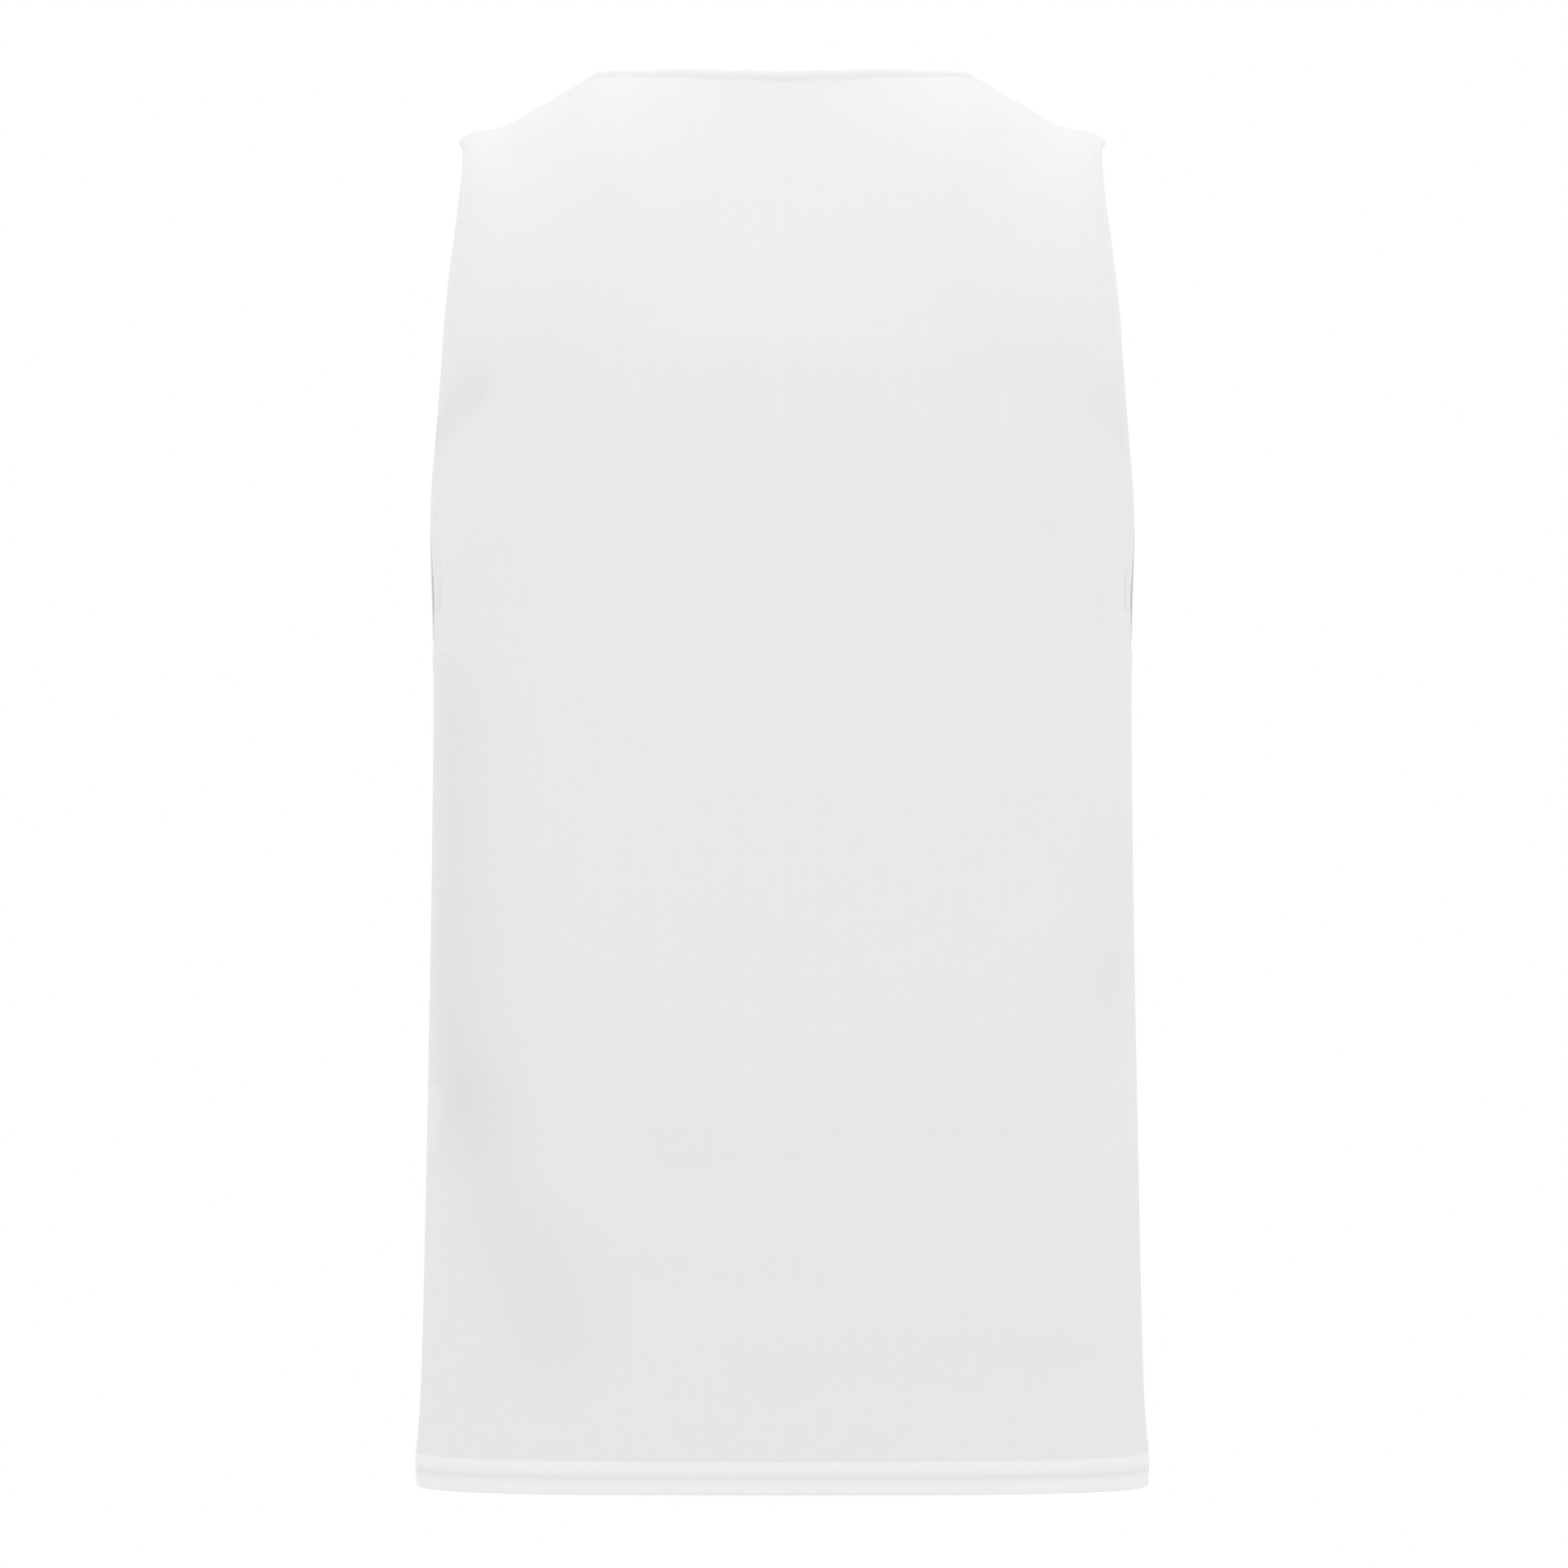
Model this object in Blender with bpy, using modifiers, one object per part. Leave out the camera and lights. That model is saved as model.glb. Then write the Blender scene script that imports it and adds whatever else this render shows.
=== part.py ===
"""A sleeveless basketball jersey in white knitted mesh, filled out as if it were worn.

A back panel and a front panel meet at the side seams and at the shoulder seams, and a bare
care label is sewn into the side seam at the wearer's left. The neck, the armholes and the
hem are open. Each panel is a grid of rows, from the hem up, and columns, from the centre
line out to the side, laid on the form that the cloth takes over a general figure.

Metres, +Z up. The back faces -Y, the wearer looks along +Y, and +X is the wearer's right.
The origin is on the centre plane, at the level where the straps rest on the shoulders.
"""

import bisect
import math
from collections import namedtuple

import bmesh
import bpy
from mathutils import Vector

# ---- Driving sizes. Heights are measured up from the hem's edge. ----
STRAP_REST = 0.714  # height of the shoulder tips, where the straps rest
UNDERARM = 0.440  # height where the side seam ends and the armhole begins
YOKE = 0.602  # height where the shoulder blades and the chest start to lean in
NECK_HALF = 0.0980  # centre line to neck point
NECK_HEIGHT = 0.7505  # neck point
NECK_SLOPE = -0.58  # how the form falls outward there
NECK_SHARE = 0.467  # share of a row's half that ends on the neckline, the rest on the strap
SEAM_BACK = 0.0080  # how far the shoulder seam lies behind the ridge of the shoulder

CLOTH = 0.0012  # wall of the mesh
TURNED = 0.0020  # wall where the neck's and the armholes' edges are turned in
HEM_WALL = 0.0025  # wall of the hem, which is turned up once
STITCH_DIP = 0.0008  # how far the hem's needle line pulls the wall in
HEM_BAND = 0.0170
NEEDLE_LINE = 0.0095
EDGE_BAND = 0.0080
STEP = 0.0012  # width of the step from a turned edge down to the single cloth
SEAM_GAP = 0.0003

LABEL_LOW, LABEL_HIGH = 0.178, 0.212
LABEL_REACH = 0.046  # from the side seam round the inside of the back
LABEL_DROOP = 0.003
LABEL_WALL = 0.0010
LABEL_CLEAR = 0.0012  # from the back's inner face, at the middle of its facets
LABEL_STEPS = 6

BACK, FRONT = -1, 1

# The outer face of the body: half its width, how far back and front stand from the centre
# plane, and how square the ring is, where 2 is an ellipse. Above the underarm the width
# comes from the armhole's edge.
Section = namedtuple("Section", "height half_width back front squareness")
SECTIONS = (
    Section(0.000, 0.1944, 0.1180, 0.1170, 3.5),
    Section(0.012, 0.1948, 0.1174, 0.1165, 3.4),
    Section(0.040, 0.1930, 0.1164, 0.1158, 3.3),
    Section(0.082, 0.1916, 0.1156, 0.1152, 3.2),
    Section(0.172, 0.1897, 0.1150, 0.1150, 3.1),
    Section(0.292, 0.1875, 0.1154, 0.1160, 3.0),
    Section(0.392, 0.1862, 0.1172, 0.1182, 3.0),
    Section(0.440, 0.1861, 0.1186, 0.1200, 3.0),
    Section(0.512, 0.1861, 0.1206, 0.1222, 3.1),
    Section(0.572, 0.1861, 0.1216, 0.1226, 3.2),
    Section(0.602, 0.1861, 0.1208, 0.1216, 3.3),
    Section(0.632, 0.1861, 0.1140, 0.1170, 3.3),
)

# The armhole's two edges from the underarm up to the yoke, as width and depth from the
# centre planes.
Armhole = namedtuple("Armhole", "height back_x back_y front_x front_y")
ARMHOLE = (
    Armhole(0.4400, 0.1861, 0.0000, 0.1861, 0.0000),
    Armhole(0.4401, 0.1861, 0.0020, 0.1861, 0.0021),
    Armhole(0.4405, 0.1860, 0.0045, 0.1861, 0.0047),
    Armhole(0.4411, 0.1859, 0.0067, 0.1862, 0.0070),
    Armhole(0.442, 0.1857, 0.0090, 0.1863, 0.0095),
    Armhole(0.448, 0.1850, 0.0190, 0.1868, 0.0200),
    Armhole(0.458, 0.1843, 0.0290, 0.1874, 0.0310),
    Armhole(0.472, 0.1840, 0.0390, 0.1882, 0.0420),
    Armhole(0.492, 0.1850, 0.0485, 0.1893, 0.0530),
    Armhole(0.511, 0.1857, 0.0550, 0.1899, 0.0605),
    Armhole(0.529, 0.1850, 0.0600, 0.1889, 0.0660),
    Armhole(0.550, 0.1831, 0.0645, 0.1873, 0.0705),
    Armhole(0.572, 0.1813, 0.0675, 0.1857, 0.0740),
    Armhole(0.602, 0.1789, 0.0690, 0.1836, 0.0760),
    Armhole(0.632, 0.1760, 0.0665, 0.1810, 0.0745),
)

# The neck: the middle of the form's own top, where no cloth is, then how far the neckline
# stands from the centre plane in the middle and how square it is seen from above.
Neck = namedtuple("Neck", "height depth cut squareness")
NECKS = {
    BACK: Neck(0.785, 0.046, 0.0617, 2.0),
    FRONT: Neck(0.765, 0.028, 0.1044, 3.2),
}

# The shoulder seam from the neck point out to the tip.
Shoulder = namedtuple("Shoulder", "share half_width height")
SHOULDER = (
    Shoulder(0.00, NECK_HALF, NECK_HEIGHT),
    Shoulder(0.10, 0.1040, 0.7465),
    Shoulder(0.25, 0.1150, 0.7387),
    Shoulder(0.45, 0.1315, 0.7294),
    Shoulder(0.60, 0.1435, 0.7225),
    Shoulder(0.75, 0.1550, 0.7190),
    Shoulder(0.90, 0.1660, 0.7172),
    Shoulder(1.00, 0.1712, 0.7118),
)

# How the cloth sets off from the yoke and how it arrives at the neck or the shoulder seam:
# lean towards the ridge and rise, for the columns at these shares of a row's half.
Lean = namedtuple("Lean", "share set_off arrive_lean arrive_rise arrive_spread pull")
LEANS = {
    BACK: (
        Lean(0.000, 0.30, 1.00, 2.55, 0.00, 1.00),
        Lean(0.117, 0.29, 1.00, 1.60, 0.00, 1.00),
        Lean(0.234, 0.27, 1.00, 0.74, 0.00, 1.00),
        Lean(0.350, 0.24, 1.00, 0.34, 0.00, 1.08),
        Lean(0.467, 0.23, 1.00, 0.20, 0.00, 1.30),
        Lean(0.700, 0.12, 1.00, 0.20, 0.00, 1.10),
        Lean(1.000, 0.03, 1.00, 0.10, 0.20, 0.95),
    ),
    FRONT: (
        Lean(0.000, 0.22, 1.00, 0.85, 0.00, 1.00),
        Lean(0.250, 0.18, 1.00, 0.50, 0.00, 1.00),
        Lean(0.467, 0.12, 1.00, -0.20, 0.00, 1.00),
        Lean(0.700, 0.06, 1.00, -0.18, 0.00, 1.10),
        Lean(1.000, -0.02, 1.00, -0.08, 0.20, 1.00),
    ),
}

# Soft folds: a trough (below 0) or a ridge along a line from one place to another, given
# by the distance across from the centre line and the height.
Fold = namedtuple("Fold", "across_1 height_1 across_2 height_2 width depth")
FOLDS = {
    BACK: (
        Fold(-0.182, 0.205, -0.118, 0.055, 0.024, -0.0048),
        Fold(-0.202, 0.400, -0.192, 0.215, 0.030, -0.0050),
        Fold(0.198, 0.325, 0.190, 0.265, 0.020, -0.0026),
        Fold(-0.180, 0.575, -0.110, 0.600, 0.014, -0.0020),
        Fold(0.180, 0.575, 0.110, 0.600, 0.014, -0.0020),
        Fold(-0.060, 0.178, 0.120, 0.186, 0.016, -0.0010),
    ),
    FRONT: (
        Fold(-0.190, 0.500, -0.080, 0.440, 0.022, -0.0030),
        Fold(0.185, 0.510, 0.095, 0.420, 0.020, -0.0026),
        Fold(0.215, 0.290, 0.110, 0.070, 0.028, -0.0034),
        Fold(-0.200, 0.240, -0.150, 0.080, 0.024, -0.0026),
        Fold(-0.050, 0.120, 0.060, 0.110, 0.020, -0.0012),
    ),
}

# ---- The grid ----
HEM_ROWS = (0.0, NEEDLE_LINE - STEP, NEEDLE_LINE, NEEDLE_LINE + STEP, HEM_BAND - STEP, HEM_BAND)
BODY_ROWS = (0.030, 0.065, 0.105, 0.150, 0.195, 0.240, 0.285, 0.330, 0.370, 0.405)
UNDERARM_ROWS = (
    UNDERARM - EDGE_BAND - STEP,
    UNDERARM - EDGE_BAND,
    UNDERARM - EDGE_BAND / 2,
    UNDERARM,
)
ARMHOLE_ROWS = (0.4403, 0.4415, 0.4445, 0.450, 0.459, 0.472, 0.489, 0.509, 0.531, 0.554, 0.578, YOKE)
YOKE_STEPS = 9
ARC_SAMPLES = 120
NECK_SAMPLES = 48
HALVINGS = 24
EDGE_SPACE = 0.002  # between the levels where the armhole's edge is looked up
EDGE_HEIGHTS = tuple(UNDERARM + i * EDGE_SPACE for i in range(round((YOKE - UNDERARM) / EDGE_SPACE) + 1))
NUDGE = 0.002  # share of a half row, or of the way up the yoke, over which a slope is taken
OUTWARD = 0.03  # the same, outward from the neckline
MITRE_FROM = 0.7  # share of the neckline past which its turned edge may meet the shoulder seam

# Each column's share of a half row up to the yoke, and where it ends along the top edge: 0 at
# the centre line, 1 at the neck point and 2 at the shoulder tip.
Column = namedtuple("Column", "share end")
COLUMNS = (
    Column(0.000, 0.00),
    Column(0.070, 0.12),
    Column(0.140, 0.24),
    Column(0.210, 0.36),
    Column(0.280, 0.48),
    Column(0.345, 0.59),
    Column(0.405, 0.70),
    Column(0.460, 0.80),
    Column(0.515, 0.89),
    Column(0.570, 1.00),
    Column(0.620, 1.30),
    Column(0.670, 1.42),
    Column(0.720, 1.53),
    Column(0.770, 1.63),
    Column(0.820, 1.72),
    Column(0.875, 1.82),
)
STRAP_INNER = 0.85  # share of the shoulder seam over which columns shift to clear the neck edge
FOLD_FADE = 0.020  # the folds fade out this near to a side seam or a shoulder seam
YOKE_CLIMB = 0.16  # about the length of the cloth from the yoke to the shoulder seam

Material = namedtuple("Material", "colour roughness")
MESH_CLOTH = Material((0.86, 0.86, 0.86, 1.0), 0.85)
LABEL_TAPE = Material((0.90, 0.90, 0.89, 1.0), 0.55)


# ---- Curves through tables ----
def read(table, at):
    """The row of a table at a value of its first column, on a smooth curve through its rows."""
    places = [row[0] for row in table]
    last = len(table) - 1
    k = min(max(bisect.bisect_right(places, at) - 1, 0), last - 1)
    low, high = table[k], table[k + 1]
    span = high[0] - low[0]
    t = (at - low[0]) / span
    values = []
    for column in range(len(low)):

        def slope(i):
            before, after = table[max(i - 1, 0)], table[min(i + 1, last)]
            return (after[column] - before[column]) / (after[0] - before[0])

        values.append(
            (1 + 2 * t) * (1 - t) ** 2 * low[column]
            + t * (1 - t) ** 2 * span * slope(k)
            + t * t * (3 - 2 * t) * high[column]
            + t * t * (t - 1) * span * slope(k + 1)
        )
    return type(low)(*values)


def corner(turn, squareness):
    """A point on a quarter of a superellipse: how far out and how far forward, 1 at each end."""
    out, ahead = math.sin(turn), math.cos(turn)
    reach = (abs(out) ** squareness + abs(ahead) ** squareness) ** (-1 / squareness)
    return out * reach, ahead * reach


class Row:
    """One level of a panel below the yoke, from the centre line out to the seam or armhole.

    It is a ring of the form, cut off where it comes within edge_y of the centre plane.
    """

    def __init__(self, side, height):
        section = read(SECTIONS, height)
        self.height, self.side, self.squareness = height, side, section.squareness
        self.depth = (section.back if side == BACK else section.front) - CLOTH
        edge_x, edge_y = section.half_width, 0.0
        if height > UNDERARM:
            edge = read(ARMHOLE, height)
            edge_x, edge_y = (
                (edge.back_x, edge.back_y) if side == BACK else (edge.front_x, edge.front_y)
            )
        ahead = (edge_y + SEAM_GAP / 2) / self.depth
        out = (1 - ahead**self.squareness) ** (1 / self.squareness)
        self.half_width = (edge_x - CLOTH) / out
        last = math.atan2(out, ahead)
        self.turns = [i * last / ARC_SAMPLES for i in range(ARC_SAMPLES + 1)]
        self.lengths = [0.0]
        points = [self.at_turn(turn) for turn in self.turns]
        for a, b in zip(points, points[1:]):
            self.lengths.append(self.lengths[-1] + (b - a).length)

    @property
    def length(self):
        return self.lengths[-1]

    def at_turn(self, turn):
        out, ahead = corner(turn, self.squareness)
        return Vector((self.half_width * out, self.side * self.depth * ahead, self.height))

    def at(self, share):
        """The point at this share of the row's own length."""
        wanted = share * self.length
        k = min(max(bisect.bisect_right(self.lengths, wanted) - 1, 0), ARC_SAMPLES - 1)
        part = (wanted - self.lengths[k]) / (self.lengths[k + 1] - self.lengths[k])
        return self.at_turn(self.turns[k] + part * (self.turns[k + 1] - self.turns[k]))


# ---- The yoke: from the shoulder blades or the chest to the neck and the shoulder seam ----
def top_edge(side, share):
    """Where a column ends: on the shoulder seam, or further in on the form's own top."""
    seam_y = -SEAM_BACK + side * SEAM_GAP / 2
    if share >= NECK_SHARE:
        seam = read(SHOULDER, (share - NECK_SHARE) / (1 - NECK_SHARE))
        return Vector((seam.half_width, seam_y, seam.height))
    neck = NECKS[side]
    s = share / NECK_SHARE
    ease = s * s * (3 - 2 * s)
    fall = s * s * (s - 1) * NECK_SLOPE * NECK_HALF
    return Vector((
        NECK_HALF * s,
        side * neck.depth * (1 - ease) + seam_y * ease,
        neck.height * (1 - ease) + NECK_HEIGHT * ease + fall,
    ))


def yoke_point(side, share, t, row, row_below):
    """A point t of the way from the yoke to the top edge, on a curve with set ends."""
    start, end = row.at(share), top_edge(side, share)
    lean = read(LEANS[side], share)
    reach = (end - start).length * lean.pull
    spread = (start.x - row_below.at(share).x) / (row.height - row_below.height)
    leave = Vector((spread, -side * lean.set_off, 1)) * reach
    arrive = Vector((lean.arrive_spread, -side * lean.arrive_lean, lean.arrive_rise))
    arrive = arrive.normalized() * reach
    return (
        start * (1 + 2 * t) * (1 - t) ** 2
        + leave * t * (1 - t) ** 2
        + end * t * t * (3 - 2 * t)
        + arrive * t * t * (t - 1)
    )


def up(share, climb):
    """A place on the yoke, as across and height."""
    return share, YOKE + climb


NeckPlace = namedtuple("NeckPlace", "along share climb")
SHOULDER_NECK, SHOULDER_TIP = top_edge(BACK, NECK_SHARE), top_edge(BACK, 1.0)


class Panel:
    """The inner face of one panel, before its folds."""

    def __init__(self, side):
        self.side = side
        self.rows, self.mitres = {}, {}
        self.neck = []

    def row(self, height):
        if height not in self.rows:
            self.rows[height] = Row(self.side, height)
        return self.rows[height]

    def point(self, across, height):
        """across runs from -1 to 1, and height above the yoke counts on to yoke + 1."""
        share = abs(across)
        if height <= YOKE:
            place = self.row(height).at(share)
        else:
            t = height - YOKE
            place = yoke_point(self.side, share, t, self.row(YOKE), self.row(ARMHOLE_ROWS[-2]))
        place.x = math.copysign(place.x, across) if across else 0.0
        return place

    def turned_from(self, level, width):
        """The share where an edge of this width begins, all the way round the armhole."""
        length = self.row(level).length
        inside = length - width
        for height in EDGE_HEIGHTS:
            beside = width * width - (level - height) ** 2
            if beside > 0:
                inside = min(inside, self.row(height).length - math.sqrt(beside))
        return inside / length

    def neck_place(self, turn):
        """The neckline at a turn from its middle: the share, and how far up the yoke it is."""
        neck = NECKS[self.side]
        out, ahead = corner(turn, neck.squareness)
        share = NECK_SHARE * out
        seam_y = top_edge(self.side, NECK_SHARE).y
        wanted = seam_y + (self.side * neck.cut - seam_y) * ahead
        low, high = 0.0, 1.0
        for _ in range(HALVINGS):
            middle = (low + high) / 2
            if (self.point(share, YOKE + middle).y - wanted) * self.side > 0:
                low = middle
            else:
                high = middle
        return share, high

    def neckline(self, along):
        """The share and the height at this share of the neckline's own length."""
        if not self.neck:
            turns = [i * math.pi / 2 / NECK_SAMPLES for i in range(NECK_SAMPLES + 1)]
            places = [self.neck_place(turn) for turn in turns]
            points = [self.point(share, YOKE + climb) for share, climb in places]
            run = [0.0]
            for a, b in zip(points, points[1:]):
                run.append(run[-1] + (b - a).length)
            self.neck = [NeckPlace(r / run[-1], *place) for r, place in zip(run, places)]
        place = read(self.neck, along)
        return place.share, place.climb

    def inset(self, along, distance):
        """The place this far in from the neckline, square to it."""
        share, climb = self.neckline(along)
        ahead = self.point(*up(*self.neckline(min(along + NUDGE, 1.0))))
        behind = self.point(*up(*self.neckline(max(along - NUDGE, 0.0))))
        height = YOKE + climb
        by_share = (self.point(share + OUTWARD, height) - self.point(share, height)) / OUTWARD
        by_climb = (self.point(share, height) - self.point(share, height - NUDGE)) / NUDGE
        if share < NUDGE:
            return share, climb - distance / by_climb.length
        inward = (ahead - behind).cross(by_share.cross(by_climb)).normalized() * distance
        aa, bb, ab = by_share.dot(by_share), by_climb.dot(by_climb), by_share.dot(by_climb)
        a, b = by_share.dot(inward), by_climb.dot(inward)
        clear = aa * bb - ab * ab
        return share + (a * bb - b * ab) / clear, climb + (b * aa - a * ab) / clear

    def below_seam(self, share, distance):
        """The climb this far below the shoulder seam."""
        step = self.point(share, YOKE + 1) - self.point(share, YOKE + 1 - NUDGE)
        return 1 - distance * NUDGE / step.length

    def mitre(self, distance):
        """The place as far in from the neckline as from the shoulder seam: its along and its share."""
        if distance not in self.mitres:
            low, high = MITRE_FROM, 1.0
            for _ in range(HALVINGS):
                middle = (low + high) / 2
                share, climb = self.inset(middle, distance)
                if climb < self.below_seam(share, distance):
                    low = middle
                else:
                    high = middle
            self.mitres[distance] = low, self.inset(low, distance)[0]
        return self.mitres[distance]

    def end_place(self, end, distance):
        """The share and the climb this far in from the top edge, at a column's end."""
        along, corner_share = self.mitre(distance)
        if end <= 1:
            return self.inset(end * along, distance)
        drawn_in = max(1 - (end - 1) / STRAP_INNER, 0.0) * (corner_share - NECK_SHARE)
        share = NECK_SHARE + (1 - NECK_SHARE) * (end - 1) + drawn_in
        return share, self.below_seam(share, distance)

    def normal(self, across, height):
        low, high = max(height - NUDGE, 0.0), min(height + NUDGE, YOKE + 1.0)
        if height <= YOKE:
            high = min(high, YOKE)
        left, right = max(across - NUDGE, -1.0), min(across + NUDGE, 1.0)
        outward = self.point(right, height) - self.point(left, height)
        upward = self.point(across, high) - self.point(across, low)
        return (outward.cross(upward) * -self.side).normalized()

    def folded(self, across, height):
        """The point with the soft folds pressed in. They fade out at the seams."""
        place = self.point(across, height)
        length = self.row(min(height, YOKE)).length
        distance = across * length
        shift = sum(fold_depth(fold, distance, place.z) for fold in FOLDS[self.side])
        from_seam = FOLD_FADE
        if height < UNDERARM:
            from_seam = length - abs(distance)
        elif height > YOKE:
            from_seam = (YOKE + 1 - height) * YOKE_CLIMB
        fade = min(max(from_seam, 0.0) / FOLD_FADE, 1.0)
        return place + self.normal(across, height) * shift * fade * fade * (3 - 2 * fade)


def fold_depth(fold, distance, height):
    """The depth of a fold here: deepest along its line, and fading to both sides and past its ends."""
    along = (fold.across_2 - fold.across_1, fold.height_2 - fold.height_1)
    length = math.hypot(*along)
    from_start = (distance - fold.across_1, height - fold.height_1)
    run = (from_start[0] * along[0] + from_start[1] * along[1]) / length
    off = abs(from_start[0] * along[1] - from_start[1] * along[0]) / length
    past = max(-run, run - length, 0.0)
    return fold.depth * math.exp(-(off * off + past * past) / (2 * fold.width**2))


# ---- Grids, walls and objects ----
def columns_of(panel, level):
    """The places across a half row: shares of it, and the turned edge at its real width."""
    turned = [panel.turned_from(level, width) for width in (EDGE_BAND + STEP, EDGE_BAND)]
    return [column.share for column in COLUMNS] + turned + [1.0]


def ends_of():
    """Where the columns end along the top edge, with the turned edge at its real width."""
    seam = (SHOULDER_TIP - SHOULDER_NECK).length
    turned = [2 - width / seam for width in (EDGE_BAND + STEP, EDGE_BAND)]
    return [column.end for column in COLUMNS] + turned + [2.0]


def climb_of(panel, start, end):
    """The places up the yoke of one column, the last ones at the turned neck edge."""
    share, climb = panel.end_place(end, EDGE_BAND + STEP)
    places = []
    for i in range(1, YOKE_STEPS + 1):
        t = i / YOKE_STEPS
        places.append((start + (share - start) * t, climb * t))
    return places + [panel.end_place(end, EDGE_BAND), panel.end_place(end, 0.0)]


def grid_places(panel):
    """For each row, up from the hem, its places: across, height, wall."""
    table = []
    for level in HEM_ROWS + BODY_ROWS + UNDERARM_ROWS + ARMHOLE_ROWS:
        shares = columns_of(panel, level)
        if level <= HEM_BAND - STEP:
            walls = [HEM_WALL - (STITCH_DIP if level == NEEDLE_LINE else 0.0)] * len(shares)
        else:
            turned = 2 if level >= UNDERARM - EDGE_BAND else 0
            walls = [CLOTH] * (len(shares) - turned) + [TURNED] * turned
        table.append(mirrored([(share, level, thick) for share, thick in zip(shares, walls)]))
    ends = ends_of()
    climbs = [climb_of(panel, share, end) for share, end in zip(columns_of(panel, YOKE), ends)]
    for i in range(YOKE_STEPS + 2):
        half = []
        for j, (end, climb) in enumerate(zip(ends, climbs)):
            turned = j >= len(ends) - 2 or (end <= 1 and i >= YOKE_STEPS)
            share, height = up(*climb[i])
            half.append((share, height, TURNED if turned else CLOTH))
        table.append(mirrored(half))
    return table


def mirrored(half):
    return [(-across, height, thick) for across, height, thick in reversed(half[1:])] + half


def cloth_object(name, table, place, thickest, outward, collection, material):
    """A grid laid on the places of a table, with a wall of the thickness that each place has."""
    rows, columns = len(table), len(table[0])
    bm = bmesh.new()
    bmesh.ops.create_grid(bm, x_segments=columns - 1, y_segments=rows - 1, size=1.0)
    walls = []
    for vert in bm.verts:
        column = round((vert.co.x + 1) / 2 * (columns - 1))
        row = round((vert.co.y + 1) / 2 * (rows - 1))
        across, height, thick = table[row][column]
        vert.co = place(across, height)
        vert.co.z -= STRAP_REST
        walls.append(thick)
    if outward > 0:
        bmesh.ops.reverse_faces(bm, faces=bm.faces)
    mesh = bpy.data.meshes.new(name)
    bm.to_mesh(mesh)
    bm.free()
    mesh.shade_smooth()
    mesh.materials.append(material)
    obj = bpy.data.objects.new(name, mesh)
    collection.objects.link(obj)
    group = obj.vertex_groups.new(name="wall")
    for index, thick in enumerate(walls):
        group.add([index], thick / thickest, "REPLACE")
    solidify = obj.modifiers.new("wall", "SOLIDIFY")
    solidify.thickness = thickest
    solidify.offset = 1.0
    solidify.use_quality_normals = True
    solidify.vertex_group = group.name
    return obj


def panel_object(name, panel, collection, material):
    table = grid_places(panel)
    return cloth_object(name, table, panel.folded, HEM_WALL, panel.side, collection, material)


def label_object(panel, collection, material):
    """The bare care label, which lies against the inside of the back from the side seam on."""
    length = panel.row(LABEL_LOW).length
    shares = [i / (LABEL_STEPS - 1) for i in range(LABEL_STEPS)]
    table = []
    for rise in shares:
        row = []
        for reach in shares:
            from_seam = (SEAM_GAP + LABEL_REACH * reach) / length
            height = LABEL_LOW + (LABEL_HIGH - LABEL_LOW) * rise - LABEL_DROOP * reach**2
            row.append((from_seam - 1, height, LABEL_WALL))
        table.append(row)
    clear = LABEL_CLEAR + LABEL_WALL

    def place(across, height):
        return panel.folded(across, height) - panel.normal(across, height) * clear

    return cloth_object(
        "care_label", table, place, LABEL_WALL, panel.side, collection, material
    )


def material_of(name, look):
    material = bpy.data.materials.new(name)
    material.use_nodes = True
    shader = material.node_tree.nodes["Principled BSDF"]
    shader.inputs["Base Color"].default_value = look.colour
    shader.inputs["Roughness"].default_value = look.roughness
    shader.inputs["Metallic"].default_value = 0.0
    material.diffuse_color = look.colour
    return material


def main():
    for obj in list(bpy.data.objects):
        bpy.data.objects.remove(obj)
    collection = bpy.data.collections.new("basketball_jersey")
    bpy.context.scene.collection.children.link(collection)
    back, front = Panel(BACK), Panel(FRONT)
    panel_object("back_panel", back, collection, material_of("mesh_cloth_back", MESH_CLOTH))
    panel_object("front_panel", front, collection, material_of("mesh_cloth_front", MESH_CLOTH))
    label_object(back, collection, material_of("label_tape", LABEL_TAPE))


main()
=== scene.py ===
"""The looks of a sleeveless basketball jersey in white mesh, filled out as if worn.

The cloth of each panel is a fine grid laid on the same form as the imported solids, with its
hem, its turned edges, its seams and its soft folds raised or pressed in. Stitches and the
bare care label are pieces of their own. Metres, +Z up; the back faces -Y.
"""

import bisect
import math
from collections import namedtuple

import bmesh
import bpy
from mathutils import Matrix, Vector


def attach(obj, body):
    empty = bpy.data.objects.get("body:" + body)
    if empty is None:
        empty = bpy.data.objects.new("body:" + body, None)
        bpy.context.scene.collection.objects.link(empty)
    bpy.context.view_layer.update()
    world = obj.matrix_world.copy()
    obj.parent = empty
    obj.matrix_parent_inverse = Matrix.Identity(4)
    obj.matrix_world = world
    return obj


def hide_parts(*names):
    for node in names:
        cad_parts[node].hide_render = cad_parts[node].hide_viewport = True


bl_info = {
    "name": "Basketball Jersey",
    "version": (1, 0, 0),
    "blender": (4, 5, 0),
    "location": "View3D > Sidebar > Jersey",
    "description": "Builds the cloth, stitching, label and studio of a mesh basketball jersey",
    "category": "Add Mesh",
}

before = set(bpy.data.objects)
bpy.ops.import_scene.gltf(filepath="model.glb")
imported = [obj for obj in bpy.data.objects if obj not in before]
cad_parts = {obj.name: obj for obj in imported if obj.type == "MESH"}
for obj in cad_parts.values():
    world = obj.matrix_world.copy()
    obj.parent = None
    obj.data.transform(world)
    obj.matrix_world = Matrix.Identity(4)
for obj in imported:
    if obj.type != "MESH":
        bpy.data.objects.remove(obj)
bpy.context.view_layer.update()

BACK, FRONT = -1, 1


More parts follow.
